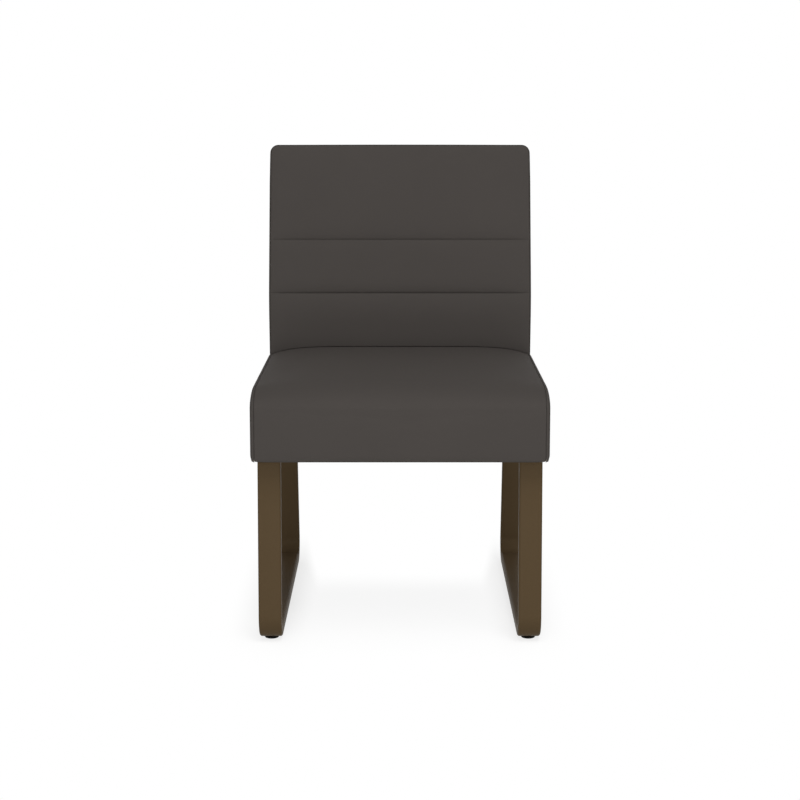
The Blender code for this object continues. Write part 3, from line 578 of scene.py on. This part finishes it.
def seat_leaves(across, along):
    """How far the back may stand out over the seat's rounded rear edge: r - sqrt(r^2 - t^2).

    The radius is r, and t is the height over the foot of that round. Above it nothing limits it.
    """
    seat_top = SEAT_SIDE_HEIGHT + seat_crown(across * BACK_SEAM, BACK_FRONT)
    foot = seat_top - SEAT_REAR_RADIUS - SEAT_UNDERSIDE
    t = np.clip(along - foot - REST_LIFT, 0, SEAT_REAR_RADIUS)
    return SEAT_REAR_RADIUS - np.sqrt(SEAT_REAR_RADIUS**2 - t**2)


def channel_puff(across, along):
    """Height of the back's foam over its seams, between the channels.

    Puff * sqrt(1 - part^4) * sqrt(1 - across^8), where part runs from -1 to 1 over each channel
    and across from -1 to 1 over the width, and never more than the seat leaves.
    """
    edges = (PUFF_START, *CHANNELS, BACK_LENGTH)
    shares = [2 * np.clip((along - a) / (b - a), 0, 1) - 1 for a, b in zip(edges, edges[1:])]
    rise = np.max([np.sqrt(1 - part**4) for part in shares], axis=0)
    puff = CHANNEL_PUFF * rise * np.sqrt(np.clip(1 - across**8, 0, 1))
    return np.minimum(puff, seat_leaves(across, along))


def back_edges(rows, columns):
    """Places along and across a panel of the back, how far in each lies, and the side allowances.

    The rows and columns get the steps of the rounded seams at the top and both sides, and the seam
    allowances beyond them.
    """
    rows, below = lapped(merged(rows, BACK_LENGTH - SEAM_STEPS * SEAM_ROUND))
    close = 1 - SEAM_STEPS * SEAM_ROUND / BACK_SEAM
    columns, side_below = lapped(merged(columns, close, -close), BACK_SEAM)
    s, u = rows[1:, None], columns[None, :]
    half = back_half(s)
    into = rounding(np.minimum(half - np.abs(u * half), BACK_LENGTH - s), SEAM_ROUND)
    return s, u, into + np.maximum(below[1:, None], side_below[None, :]), side_below


def back_sheet(s, u, into, side_below, rear=False):
    """Points of a panel of the back, in from its front or rear face, after a hem under its foot."""
    hem = np.array([[HEM], [HEM / 2], [HEM_ROUND]]) + side_below
    along = np.concatenate([np.zeros((len(hem), 1)), s])
    into = np.concatenate([hem, into])
    return place(u * back_half(along), *back_point(BACK_THICKNESS - into if rear else into, along))


def make_back_panel(vinyl):
    """The front panel of the back, sewn down along its two channels and stretched between them."""
    core = (0, 0.25, 0.6)
    rows = with_marks(spaced(0, BACK_LENGTH, CLOTH_PITCH), [0, *CHANNELS, BACK_LENGTH], apart=0.003)
    columns = np.linspace(-1, 1, 84)
    s, u = rows[:, None], columns[None, :]
    foam = channel_puff(u, s)
    sheet = place(u * back_half(s), *back_point(-BACK_SLACK * foam, s))
    held = (foam < 1e-5) | (s < REST_TOP)
    height = BACK_SLACK * foam + swell(sheet, held, core, BACK_PRESSURE)
    over = (plump(height, foam, BACK_SWELL) - foam) * ~held
    clear = (rows < BACK_LENGTH - TOP_CLEAR) & ((rows < REST_FINE[0]) | (rows > REST_FINE[1]))
    fine = [rows[clear], spaced(SEAT_SIDE_HEIGHT - SEAT_REAR_RADIUS - SEAT_UNDERSIDE, REST_TOP, REST_PITCH)]
    fine += [channel + side * CHANNEL_STEPS for channel in CHANNELS for side in (-1, 1)]
    s, u, into, side_below = back_edges(np.concatenate(fine), columns[np.abs(columns) < EVEN_SHARE])
    into = into - channel_puff(u, s) - resample(over, rows, columns, s[:, 0], u[0])
    obj = panel("back_panel", back_sheet(s, u, into, side_below), core, vinyl)
    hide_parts("back_cover")


def make_outside_back(vinyl):
    """The rear panel of the back, drawn flat over the frame."""
    rows = spaced(0, BACK_LENGTH - TOP_CLEAR, PANEL_PITCH)
    edges = back_edges(rows, np.linspace(-EVEN_SHARE, EVEN_SHARE, 60))
    obj = panel("outside_back_panel", back_sheet(*edges, rear=True), (0, 0.2, 0.6), vinyl)
    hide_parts("outside_back")


def make_back_boxing(vinyl):
    """The strip round the back's edge: up one side, over the top and down the other.

    Across it, into runs from seam to seam, and it stands out by
    rise * bulge * sqrt(1 - (1 - e / ease)^2), where e is the distance to the nearer seam. The rise
    is top rise - top fall * (X / flat)^2 over the top, and lessens down the sides to the seat. At both
    feet the strip turns under on a quarter circle and runs inwards as a level hem.
    """
    fine = SEAM_STEPS * SEAM_ROUND
    even = spaced(BOXING_PITCH, BACK_THICKNESS - BOXING_PITCH, BOXING_PITCH)
    into = merged(fine, even, BACK_THICKNESS - fine)
    reach = np.minimum(into, BACK_THICKNESS - into)
    pillow = BACK_SIDE_BULGE * np.sqrt(1 - (1 - np.clip(reach / BACK_SIDE_EASE, 0, 1)) ** 2)
    dip = rounding(into, SEAM_ROUND) - rounding(BACK_THICKNESS - into, SEAM_ROUND)
    flat = BACK_SEAM - BACK_CORNER
    hem = np.where((into > HEM_START) & (into < BACK_THICKNESS - HEM_START), HEM, HEM_STUB)
    run = hem[:, None] * np.linspace(1, 0, 5)[None, :-1]
    foot = np.linspace(0, math.pi / 2, 6)[:-1]
    side = spaced(HEM_ROUND, BACK_LENGTH - BACK_CORNER, PANEL_PITCH)
    turn = np.linspace(0, math.pi / 2, 9)[1:]
    top = spaced(0, flat, PANEL_PITCH)[::-1]
    corner = BACK_LENGTH - BACK_CORNER + BACK_CORNER * np.sin(turn)
    line_x = np.concatenate([
        BACK_SEAM - HEM_ROUND * (1 - np.sin(foot)),
        BACK_SEAM + 0 * side,
        flat + BACK_CORNER * np.cos(turn),
        top[1:],
    ])
    line_s = np.concatenate([
        HEM_ROUND * (1 - np.cos(foot)), side, corner, BACK_LENGTH + 0 * top[1:],
    ])
    stations = [*RISE_STATIONS, BACK_LENGTH - BACK_CORNER]
    rise = np.concatenate([
        FOOT_RISE + 0 * foot,
        np.interp(side, stations, [FOOT_RISE, SIDE_RISE, SIDE_RISE, CORNER_RISE]),
        np.linspace(CORNER_RISE, TOP_RISE - TOP_FALL, len(turn) + 1)[1:],
        TOP_RISE - TOP_FALL * (top[1:] / flat) ** 2,
    ])
    out = GAP + pillow[:, None] * rise
    away_x = np.concatenate([np.sin(foot), 1 + 0 * side, np.cos(turn), 0 * top[1:]])
    away_s = np.concatenate([-HEM_LIFT * np.cos(foot), 0 * side, np.sin(turn), 1 + 0 * top[1:]])
    x = np.concatenate([BACK_SEAM - HEM_ROUND - run, line_x + out * away_x], axis=1)
    s = np.concatenate([0 * run - HEM_LIFT * out[:, :1], line_s + out * away_s], axis=1)
    x = np.concatenate([x, -x[:, -2::-1]], axis=1)
    s = np.concatenate([s, s[:, -2::-1]], axis=1)
    grid = place(x, *back_point((into + dip)[:, None], s))
    obj = panel("back_boxing_strip", grid, (0, 0.25, 0.6), vinyl)
    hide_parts("back_boxing")


# Sled legs and glides


def bent_path():
    """Points and directions of a sled's centre line: straight legs and runner, circular bends."""
    front_top = FRONT_LEG[0] + TUBE_THICKNESS / 2 / math.cos(FRONT_LEG[1])
    rear_top = REAR_LEG[0] - TUBE_THICKNESS / 2 / math.cos(REAR_LEG[1])
    drop = LEG_TOP - RUNNER_CENTRE
    corners = np.array([
        (front_top, LEG_TOP),
        (front_top - drop * math.tan(FRONT_LEG[1]), RUNNER_CENTRE),
        (rear_top + drop * math.tan(REAR_LEG[1]), RUNNER_CENTRE),
        (rear_top, LEG_TOP),
    ])
    points, ways = [corners[:1]], []
    for before, corner, after in zip(corners, corners[1:], corners[2:]):
        start = (corner - before) / np.linalg.norm(corner - before)
        end = (after - corner) / np.linalg.norm(after - corner)
        ways += [start[None, :]] if not ways else []
        turn = math.acos(float(start @ end))
        inward = (end - start * math.cos(turn)) / math.sin(turn)
        angle = np.linspace(0, turn, 25)[:, None]
        first = corner - start * BEND_RADIUS * math.tan(turn / 2)
        points.append(first + BEND_RADIUS * (start * np.sin(angle) + inward * (1 - np.cos(angle))))
        ways.append(start * np.cos(angle) + inward * np.sin(angle))
    points.append(corners[-1:])
    ways.append(ways[-1][-1:])
    return np.concatenate(points), np.concatenate(ways)


def tube_section(width, thickness, radius):
    """A rectangle with round corners, anticlockwise, as (across, through) pairs."""
    turn = np.linspace(0, math.pi / 2, 7)
    centre = np.array([width / 2 - radius, thickness / 2 - radius])
    corner = centre + radius * np.stack([np.cos(turn), np.sin(turn)], axis=-1)
    flip = [(1, 1), (-1, 1), (-1, -1), (1, -1)]
    return np.concatenate([(corner if i % 2 == 0 else corner[::-1]) * flip[i] for i in range(4)])


def sled_rings(section):
    """The section carried along the path, square to it, and cut level at both tops."""
    points, ways = bent_path()
    across = np.stack([-ways[:, 1], ways[:, 0]], axis=-1)
    offset = section[None, :, 1:] * across[:, None, :]
    for end in (0, -1):
        offset[end] = offset[end] - ways[end] * (offset[end][:, 1:] / ways[end][1])
    spots = points[:, None, :] + offset
    return place(section[None, :, 0], spots[..., 0], spots[..., 1])


def make_sleds(bronze):
    """The two bent tubes, as rings outside and, turned back, inside."""
    outer = sled_rings(tube_section(TUBE_WIDTH, TUBE_THICKNESS, TUBE_EDGE))
    inner = sled_rings(
        tube_section(TUBE_WIDTH - 2 * TUBE_WALL, TUBE_THICKNESS - 2 * TUBE_WALL, TUBE_EDGE - TUBE_WALL)
    )
    rings = np.concatenate([outer, inner[::-1]])
    faces = grid_faces(*rings.shape[:2], round_rows=True, round_columns=True)
    for label, side in (("left", -1), ("right", 1)):
        grid = rings + np.array([side * SLED_X, 0, 0])
        obj = put_mesh(f"sled_tube_{label}", grid, faces)
        face_side(obj)
        sharpen(obj, 50)
        dress(obj, bronze)
        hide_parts(f"sled_{label}")


def make_glides(nylon):
    """Domed glides with a moulded rim, and the barbed stem that holds them in the tube."""
    turn = np.linspace(0, math.pi / 2, 9)
    rim = GLIDE_HEIGHT - GAP
    dome = np.stack([
        GLIDE_FLAT + (GLIDE_RADIUS - GLIDE_FLAT) * np.sin(turn),
        (GLIDE_HEIGHT - 4 * GAP) * (1 - np.cos(turn)),
    ], axis=-1)
    wall = GLIDE_HEIGHT + TUBE_WALL + GAP
    tip = wall + GLIDE_BARB_HEIGHT
    profile = np.concatenate([
        [(0.0015, 0.0)],
        dome,
        [(GLIDE_RADIUS, rim - EDGE_BREAK), (GLIDE_RADIUS - EDGE_BREAK, rim)],
        [(GLIDE_STEM, rim), (GLIDE_STEM, wall), (GLIDE_STEM + GLIDE_BARB, wall + 0.0002)],
        [(GLIDE_STEM, tip - EDGE_BREAK), (0.001, tip)],
    ])
    angle = np.linspace(0, 2 * math.pi, 48, endpoint=False)
    for end in ("front", "rear"):
        for label in ("left", "right"):
            node = f"glide_{end}_{label}"
            low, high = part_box(node)
            centre = ((low[0] + high[0]) / 2, (low[1] + high[1]) / 2, 0.0)
            points = turned_points(profile[:, :1], profile[:, 1:], centre, angle)
            obj = closed_piece(f"floor_{node}", points, 40)
            dress(obj, nylon)
            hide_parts(node)


def make_leg_bolts(zinc):
    """Round-headed bolts under the mounting bars, each with a hexagon socket.

    The profile is turned about the bolt's axis, and the socket's rings follow a hexagon: half its
    width over the cosine of the angle from the nearest flat.
    """
    angle = np.linspace(0, 2 * math.pi, 48, endpoint=False)
    hexagon = SOCKET_WIDTH / 2 / np.cos((angle + math.pi / 6) % (math.pi / 3) - math.pi / 6)
    curve = np.linspace(0, math.pi / 2, 7)
    for place_name in ("front", "rear", "stile"):
        for label in ("left", "right"):
            node = f"leg_bolt_{place_name}_{label}"
            low, high = (np.array(corner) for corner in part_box(node))
            seat = low[2] + BOLT_HEAD_HEIGHT
            round_rings = np.concatenate([
                np.stack([
                    BOLT_HEAD_RADIUS * (BOLT_CROWN + (1 - BOLT_CROWN) * np.sin(curve)),
                    low[2] + (BOLT_HEAD_HEIGHT - BOLT_TIP) * (1 - np.cos(curve)),
                ], axis=-1),
                [(BOLT_HEAD_RADIUS, seat - EDGE_BREAK), (BOLT_HEAD_RADIUS - EDGE_BREAK, seat)],
                [(BOLT_RADIUS, seat), (BOLT_RADIUS, high[2] - BOLT_TIP), (BOLT_RADIUS - BOLT_TIP, high[2])],
            ])
            radius = np.concatenate([np.outer(SOCKET_SHARES, hexagon), round_rings[:, :1] + 0 * angle])
            height = np.concatenate([low[2] + np.array(SOCKET_DEPTHS), round_rings[:, 1]])
            centre = ((low[0] + high[0]) / 2, (low[1] + high[1]) / 2, 0.0)
            points = turned_points(radius, height[:, None], centre, angle)
            obj = closed_piece(f"socket_{node}", points, 35)
            dress(obj, zinc)
            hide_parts(node)


def make_weld_beads(bronze):
    """Fillets across the front and rear face of each leg, where it meets its mounting bar.

    Each is a bar along X whose round section swells and shrinks a little: radius * (1 + 0.1 *
    sin(X / ripple)), tapering to its ends.
    """
    x = np.linspace(-1, 1, 61)[:, None]
    turn = np.linspace(0, 2 * math.pi, 12, endpoint=False)[None, :]
    length = TUBE_WIDTH / 2 - TUBE_EDGE
    radius = BEAD * np.sqrt(1 - 0.9 * x**8) * (1 + 0.1 * np.sin(x * length / BEAD_RIPPLE))
    bead = np.stack([
        length * x + 0 * turn, radius * np.cos(turn), radius * np.sin(turn),
    ], axis=-1)
    bar_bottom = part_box("mount_bar_left")[0][2]
    front_half = TUBE_THICKNESS / 2 / math.cos(FRONT_LEG[1])
    rear_half = TUBE_THICKNESS / 2 / math.cos(REAR_LEG[1])
    depths = (FRONT_LEG[0], FRONT_LEG[0] + 2 * front_half, REAR_LEG[0] - 2 * rear_half, REAR_LEG[0])
    for label, side in (("left", -1), ("right", 1)):
        beads = [bead + place(side * SLED_X, depth, bar_bottom - BEAD / 3) for depth in depths]
        faces = repeated(capped(bead), x.size * turn.size, len(beads))
        obj = put_mesh(f"weld_beads_{label}", np.concatenate(beads), faces)
        face_side(obj)
        dress(obj, bronze)


# Dust cloths


def make_dust_cover(name, node, sag, cloth, zinc):
    """A black cloth stapled over an opening, sagging between its rails.

    Its height is its solid's, less sag * (1 - u^2) * (1 - v^2), where u runs over the width that
    is clear of the legs and v over the length.
    """
    low, high = (np.array(corner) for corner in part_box(node))
    x = spaced(low[0], high[0], DUST_PITCH)[None, :]
    y = spaced(low[1], high[1], DUST_PITCH)[:, None]
    middle = (low[1] + high[1]) / 2
    drop = np.clip(1 - (x / DUST_CLEAR) ** 2, 0, 1) * (1 - ((y - middle) / (high[1] - middle)) ** 2)
    top = high[2] - DUST_GAP
    z = top - DUST_THICKNESS - sag * drop
    grid = np.stack(np.broadcast_arrays(x, y, z), axis=-1)
    faces = outward(grid, grid_faces(*grid.shape[:2]), (0, middle, top + 1))
    obj = put_mesh(name, grid, faces)
    solid = obj.modifiers.new("thickness", "SOLIDIFY")
    solid.thickness = DUST_THICKNESS
    solid.offset = 1.0
    dress(obj, cloth)
    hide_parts(node)
    staples = make_staples(f"{name}_staples", low, high, zinc)


def make_staples(name, low, high, zinc):
    """Wire staples along a cloth's front and rear edge, each a rounded bar along X."""
    x = np.tile(spaced(-DUST_CLEAR, DUST_CLEAR, STAPLE_PITCH), 2)
    y = np.repeat([low[1] + STAPLE_INSET, high[1] - STAPLE_INSET], len(x) // 2)
    t = np.linspace(-1, 1, 9)[:, None]
    turn = np.linspace(0, 2 * math.pi, 8, endpoint=False)[None, :]
    thick = STAPLE_WIRE / 2 * np.sqrt(1 - 0.8 * t**6)
    points = np.stack(np.broadcast_arrays(
        x[:, None, None] + STAPLE_LENGTH / 2 * t + 0 * turn,
        y[:, None, None] + thick * np.cos(turn),
        low[2] - STAPLE_WIRE / 2 + thick * np.sin(turn),
    ), axis=-1)
    obj = put_mesh(name, points, repeated(capped(points[0]), t.size * turn.size, len(x)))
    face_side(obj)
    return dress(obj, zinc)


# Finishes


class Value:
    """A node's output that takes part in plain arithmetic, by adding Math nodes."""

    def __init__(self, nodes, socket):
        self.nodes = nodes
        self.socket = socket

    def _maths(self, operation, first, second):
        return self.nodes.node("ShaderNodeMath", {"operation": operation}, {0: first, 1: second})

    def __add__(self, other):
        return self._maths("ADD", self, other)

    def __radd__(self, other):
        return self._maths("ADD", other, self)

    def __sub__(self, other):
        return self._maths("SUBTRACT", self, other)

    def __rsub__(self, other):
        return self._maths("SUBTRACT", other, self)

    def __mul__(self, other):
        return self._maths("MULTIPLY", self, other)

    def __rmul__(self, other):
        return self._maths("MULTIPLY", other, self)

    def __truediv__(self, other):
        return self._maths("DIVIDE", self, other)

    def __pow__(self, other):
        return self._maths("POWER", self, other)

    def __abs__(self):
        return self._maths("ABSOLUTE", self, 0.0)

    def wave(self):
        return self._maths("SINE", self, 0.0)

    def or_more(self, other):
        return self._maths("MAXIMUM", self, other)


class Nodes:
    """A node tree that is filled node by node, each from its type, settings and sockets."""

    def __init__(self, tree):
        self.tree = tree

    def node(self, kind, settings=None, sockets=None, output=0):
        made = self.tree.nodes.new(kind)
        for name, value in (settings or {}).items():
            setattr(made, name, value)
        for name, value in (sockets or {}).items():
            self.feed(made.inputs[name], value)
        return Value(self, made.outputs[output])

    def feed(self, socket, value):
        if isinstance(value, Value):
            self.tree.links.new(value.socket, socket)
        else:
            socket.default_value = value

    def smooth(self, value, low, high):
        """Nought below one bound and one above the other, with a smooth step between them."""
        return self.node(
            "ShaderNodeMapRange", {"interpolation_type": "SMOOTHSTEP"}, {0: value, 1: low, 2: high}
        )

    def seen(self):
        """One where a ray comes from the camera, a mirror or glass, and nought elsewhere."""
        path = self.node("ShaderNodeLightPath")
        camera, glossy, through = (
            Value(self, path.socket.node.outputs[name])
            for name in ("Is Camera Ray", "Is Glossy Ray", "Is Transmission Ray")
        )
        return camera.or_more(glossy).or_more(through)


class Finish(Nodes):
    """A material with one main shader, and the textures that vary it."""

    def __init__(self, name, colour, roughness, metallic=0.0):
        self.material = bpy.data.materials.new(name)
        self.material.use_nodes = True
        super().__init__(self.material.node_tree)
        self.shader = self.tree.nodes["Principled BSDF"]
        self.set("Base Color", (*colour, 1.0))
        self.set("Roughness", roughness)
        self.set("Metallic", metallic)
        self.material.diffuse_color = (*colour, 1.0)

    def set(self, name, value):
        self.feed(self.shader.inputs[name], value)

    def place(self):
        return self.node("ShaderNodeTexCoord", output="Object")

    def axes(self):
        """The three object coordinates as separate values."""
        split = self.node("ShaderNodeSeparateXYZ", None, {0: self.place()}).socket.node
        return tuple(Value(self, socket) for socket in split.outputs)

    def stretched(self, scale):
        """Object coordinates, multiplied axis by axis."""
        return self.node("ShaderNodeMapping", None, {"Vector": self.place(), "Scale": scale})

    def noise(self, scale, detail=2.0, vector=None, roughness=0.5):
        sockets = {"Scale": scale, "Detail": detail, "Roughness": roughness}
        sockets["Vector"] = vector or self.place()
        return self.node("ShaderNodeTexNoise", None, sockets)

    def pebbles(self, scale, feature="F1"):
        """Distance from the nearest cell centre, or from the nearest cell edge."""
        sockets = {"Vector": self.place(), "Scale": scale}
        return self.node("ShaderNodeTexVoronoi", {"feature": feature}, sockets)

    def blend(self, share, first, second):
        """One colour into another by a share."""
        return self.node(
            "ShaderNodeMix", {"data_type": "RGBA"}, {0: share, 6: (*first, 1.0), 7: (*second, 1.0)}, output=2
        )

    def bump(self, height, distance, strength=1.0):
        """Feeds the normal with a height that is a share of a distance in metres."""
        made = self.node(
            "ShaderNodeBump", None, {"Height": height, "Distance": distance, "Strength": strength}
        )
        self.set("Normal", made)


def shade(colour, factor):
    """A colour, lighter or darker by a factor."""
    return tuple(channel * factor for channel in colour)


def vinyl_finish():
    """Charcoal coated vinyl: pebble grain about a millimetre across, with soft cloudy sheen."""
    colour = (0.0680, 0.0605, 0.0555)
    finish = Finish("charcoal_vinyl", colour, 0.75)
    finish.set("Specular IOR Level", 0.055)
    cloud = finish.noise(9.0, 3.0)
    finish.set("Base Color", finish.blend(cloud, shade(colour, 0.96), shade(colour, 1.04)))
    drift = finish.noise(350.0, 2.0)
    cells = finish.pebbles(1050.0, feature="DISTANCE_TO_EDGE")
    creases = finish.pebbles(330.0, feature="DISTANCE_TO_EDGE")
    grain = (cells * 3.0) ** 0.5 * 0.7 + drift * 0.4 + (creases * 2.0) ** 0.5 * 0.25
    finish.set("Roughness", 0.70 + cloud * 0.08 + drift * 0.06)
    finish.bump(grain, 0.00010, 0.5)
    return finish.material


def bronze_finish():
    """Bronze powder coat: a fine sandy texture over an orange peel, with a few darker specks."""
    colour = (0.0950, 0.0640, 0.0335)
    finish = Finish("bronze_powder_coat", colour, 0.42)
    finish.set("Specular IOR Level", 0.02)
    speck = finish.noise(1400.0, 1.0)
    finish.set("Base Color", finish.blend(speck, shade(colour, 0.88), shade(colour, 1.12)))
    peel = finish.noise(420.0, 1.0)
    sand = finish.noise(2600.0, 2.0)
    finish.set("Roughness", 0.36 + speck * 0.14)
    finish.bump(peel * 0.6 + sand * 0.5, 0.00006, 0.6)
    return finish.material


def nylon_finish():
    """Moulded black nylon with a slightly worn surface."""
    colour = (0.004, 0.004, 0.004)
    finish = Finish("black_nylon", colour, 0.45)
    finish.set("Specular IOR Level", 0.1)
    wear = finish.noise(600.0, 3.0)
    finish.set("Roughness", 0.38 + wear * 0.2)
    finish.bump(wear, 0.00005, 0.4)
    return finish.material


def zinc_finish():
    """Bright zinc plate, a little cloudy."""
    colour = (0.56, 0.57, 0.55)
    finish = Finish("zinc_plate", colour, 0.35, 1.0)
    cloud = finish.noise(300.0, 3.0)
    finish.set("Base Color", finish.blend(cloud, (0.50, 0.50, 0.46), (0.62, 0.63, 0.62)))
    finish.set("Roughness", 0.25 + cloud * 0.2)
    return finish.material


def wood_finish():
    """Planed hardwood: long grain along Y, as rings cut by a slow noise."""
    colour = (0.50, 0.33, 0.19)
    finish = Finish("planed_hardwood", colour, 0.6)
    along = finish.stretched((60.0, 9.0, 60.0))
    grain = finish.noise(1.0, 6.0, along, 0.6)
    rings = ((grain * 34.0).wave() + 1.0) * 0.5
    finish.set("Base Color", finish.blend(rings * 0.7 + grain * 0.3, (0.40, 0.25, 0.13), (0.58, 0.41, 0.25)))
    finish.set("Roughness", 0.5 + rings * 0.2)
    finish.bump(rings, 0.00012, 0.4)
    return finish.material


def webbing_finish():
    """Woven elastic webbing: fine ribs one way crossed by picks the other."""
    colour = (0.09, 0.09, 0.10)
    finish = Finish("elastic_webbing", colour, 0.85)
    x, y, _ = finish.axes()
    ribs = ((x * 2600.0).wave() + 1.0) * 0.5
    picks = ((y * 2600.0).wave() + 1.0) * 0.5
    weave = ribs * 0.5 + picks * 0.5
    finish.set("Base Color", finish.blend(weave, (0.05, 0.05, 0.055), (0.14, 0.14, 0.15)))
    finish.bump(weave, 0.0003, 0.7)
    return finish.material


def foam_finish():
    """Cut upholstery foam: open cells and slow changes of tone."""
    colour = (0.78, 0.70, 0.50)
    finish = Finish("cut_foam", colour, 0.95)
    cells = finish.pebbles(1500.0)
    cloud = finish.noise(12.0, 3.0)
    finish.set("Base Color", finish.blend(cloud, (0.72, 0.64, 0.44), (0.84, 0.77, 0.58)))
    finish.bump(cells, 0.0004, 0.8)
    return finish.material


def cloth_finish():
    """Non-woven dust cloth: a bonded dot pattern over tangled fibres."""
    colour = (0.016, 0.016, 0.017)
    finish = Finish("black_dust_cloth", colour, 0.95)
    dots = finish.pebbles(420.0)
    fibres = finish.noise(1800.0, 5.0, None, 0.7)
    finish.set("Base Color", finish.blend(fibres, (0.010, 0.010, 0.011), (0.026, 0.026, 0.028)))
    finish.bump(dots * 0.6 + fibres * 0.5, 0.0002, 0.6)
    return finish.material


FINISH_OF_SLOT = {
    "vinyl": vinyl_finish,
    "bronze": bronze_finish,
    "nylon": nylon_finish,
    "zinc": zinc_finish,
    "hardwood": wood_finish,
    "webbing": webbing_finish,
    "foam": foam_finish,
    "black_cloth": cloth_finish,
}


def finish_nodes(materials):
    """Gives every CAD node the material of its record slot."""
    slots = {part["node"]: part["material_slot"] for part in frame["record"]["subparts"]}
    for name, obj in frame["nodes"].items():
        for place_in_list in obj.material_slots:
            place_in_list.material = materials[slots[name]]


# Studio


def make_camera():
    """The camera where the photograph's vanishing lines put it."""
    data = bpy.data.cameras.new("camera")
    data.sensor_width = SENSOR
    data.lens = FOCAL_PIXELS * SENSOR / PHOTO_SIZE
    data.clip_end = 50.0
    obj = bpy.data.objects.new("camera", data)
    obj.location = (0.0, CAMERA_DEPTH - OVERALL_DEPTH / 2, CAMERA_HEIGHT)
    obj.rotation_euler = (math.pi / 2 - CAMERA_PITCH, 0.0, 0.0)
    bpy.context.scene.collection.objects.link(obj)
    bpy.context.scene.camera = obj


def add_lamp(name, spot, aim, size, power):
    """A square area lamp that looks at a point."""
    data = bpy.data.lights.new(name, "AREA")
    data.shape = "SQUARE"
    data.size = size
    data.energy = power
    obj = bpy.data.objects.new(name, data)
    way = np.array(aim, float) - np.array(spot, float)
    obj.location = spot
    tilt = math.atan2(math.hypot(way[0], way[1]), -way[2])
    obj.rotation_euler = (tilt, 0.0, math.atan2(-way[0], way[1]))
    bpy.context.scene.collection.objects.link(obj)


def make_world():
    """A plain dome of light, white where it is seen."""
    world = bpy.data.worlds.new("studio")
    world.use_nodes = True
    nodes = Nodes(world.node_tree)
    background = nodes.tree.nodes["Background"]
    nodes.feed(background.inputs["Color"], (1, 1, 1, 1))
    nodes.feed(background.inputs["Strength"], WORLD_LIGHT + (1 - WORLD_LIGHT) * nodes.seen())
    bpy.context.scene.world = world


def make_floor():
    """A wide pale floor, white where it is seen, with the chair's soft shadow on it.

    A ray that is neither seen nor mirrored meets a plain grey. A seen one gets pure white, blended
    by a share into a steady glow plus the light that falls on a mid grey, which together are white
    where no shadow falls. The share is 1 by the sleds, lower midway between them, and fades to
    nought in front of the chair, behind it and beside it.
    """
    half = FLOOR_HALF
    corners = np.array([(-half, -half, 0), (half, -half, 0), (half, half, 0), (-half, half, 0)], float)
    floor = put_mesh("floor", corners, [[0, 1, 2, 3]], smooth=False)
    finish = Finish("pale_floor", (FLOOR_SEEN,) * 3, 0.9)
    finish.set("Specular IOR Level", 0.0)
    x, y, _ = finish.axes()
    beside = finish.smooth(abs(x), *SHADOW_BESIDE)
    centre, half_depth = (
        middle + (side - middle) * beside for middle, side in (SHADOW_CENTRES, SHADOW_HALF_DEPTHS)
    )
    along = finish.smooth(abs((y - centre) / half_depth), SHADOW_FADE, 1.0)
    across = finish.smooth(abs(x), *SHADOW_OUTSIDE)
    share = (1 - along) * (1 - across) * (SHADOW_MIDDLE + (1 - SHADOW_MIDDLE) * beside)
    glow = finish.node("ShaderNodeEmission", None, {"Strength": FLOOR_GLOW})
    shaded = finish.node("ShaderNodeAddShader", None, {0: Value(finish, finish.shader.outputs[0]), 1: glow})
    white = finish.node("ShaderNodeEmission")
    shown = finish.node("ShaderNodeMixShader", None, {0: share, 1: white, 2: shaded})
    plain = finish.node("ShaderNodeBsdfDiffuse", None, {"Color": (FLOOR_BOUNCE,) * 3 + (1.0,)})
    choice = finish.node("ShaderNodeMixShader", None, {0: finish.seen(), 1: plain, 2: shown})
    finish.feed(finish.tree.nodes["Material Output"].inputs["Surface"], choice)
    floor.data.materials.append(finish.material)


def make_studio():
    """The view, the camera, the world, the floor and two soft lamps in front of the chair."""
    bpy.context.scene.view_settings.view_transform = "Standard"
    make_camera()
    make_world()
    make_floor()
    add_lamp("key", (0.50, -1.9, 3.60), (0.0, 0.0, 0.45), 2.0, 55.0)
    add_lamp("low", (0.0, -4.2, 0.60), (0.0, 0.0, 0.30), 1.0, 49.0)


materials = {slot: make() for slot, make in FINISH_OF_SLOT.items()}
finish_nodes(materials)
make_seat_panel(materials["vinyl"])
for side_label, side_sign in (("left", -1), ("right", 1)):
    make_seat_side(side_label, side_sign, materials["vinyl"])
make_back_panel(materials["vinyl"])
make_back_boxing(materials["vinyl"])
make_outside_back(materials["vinyl"])
make_sleds(materials["bronze"])
make_glides(materials["nylon"])
make_leg_bolts(materials["zinc"])
make_weld_beads(materials["bronze"])
make_dust_cover(
    "seat_dust_cover", "seat_dust_cloth", 0.003,
    materials["black_cloth"], materials["zinc"],
)
make_dust_cover(
    "back_dust_cover", "back_dust_cloth", 0.0008,
    materials["black_cloth"], materials["zinc"],
)
make_studio()
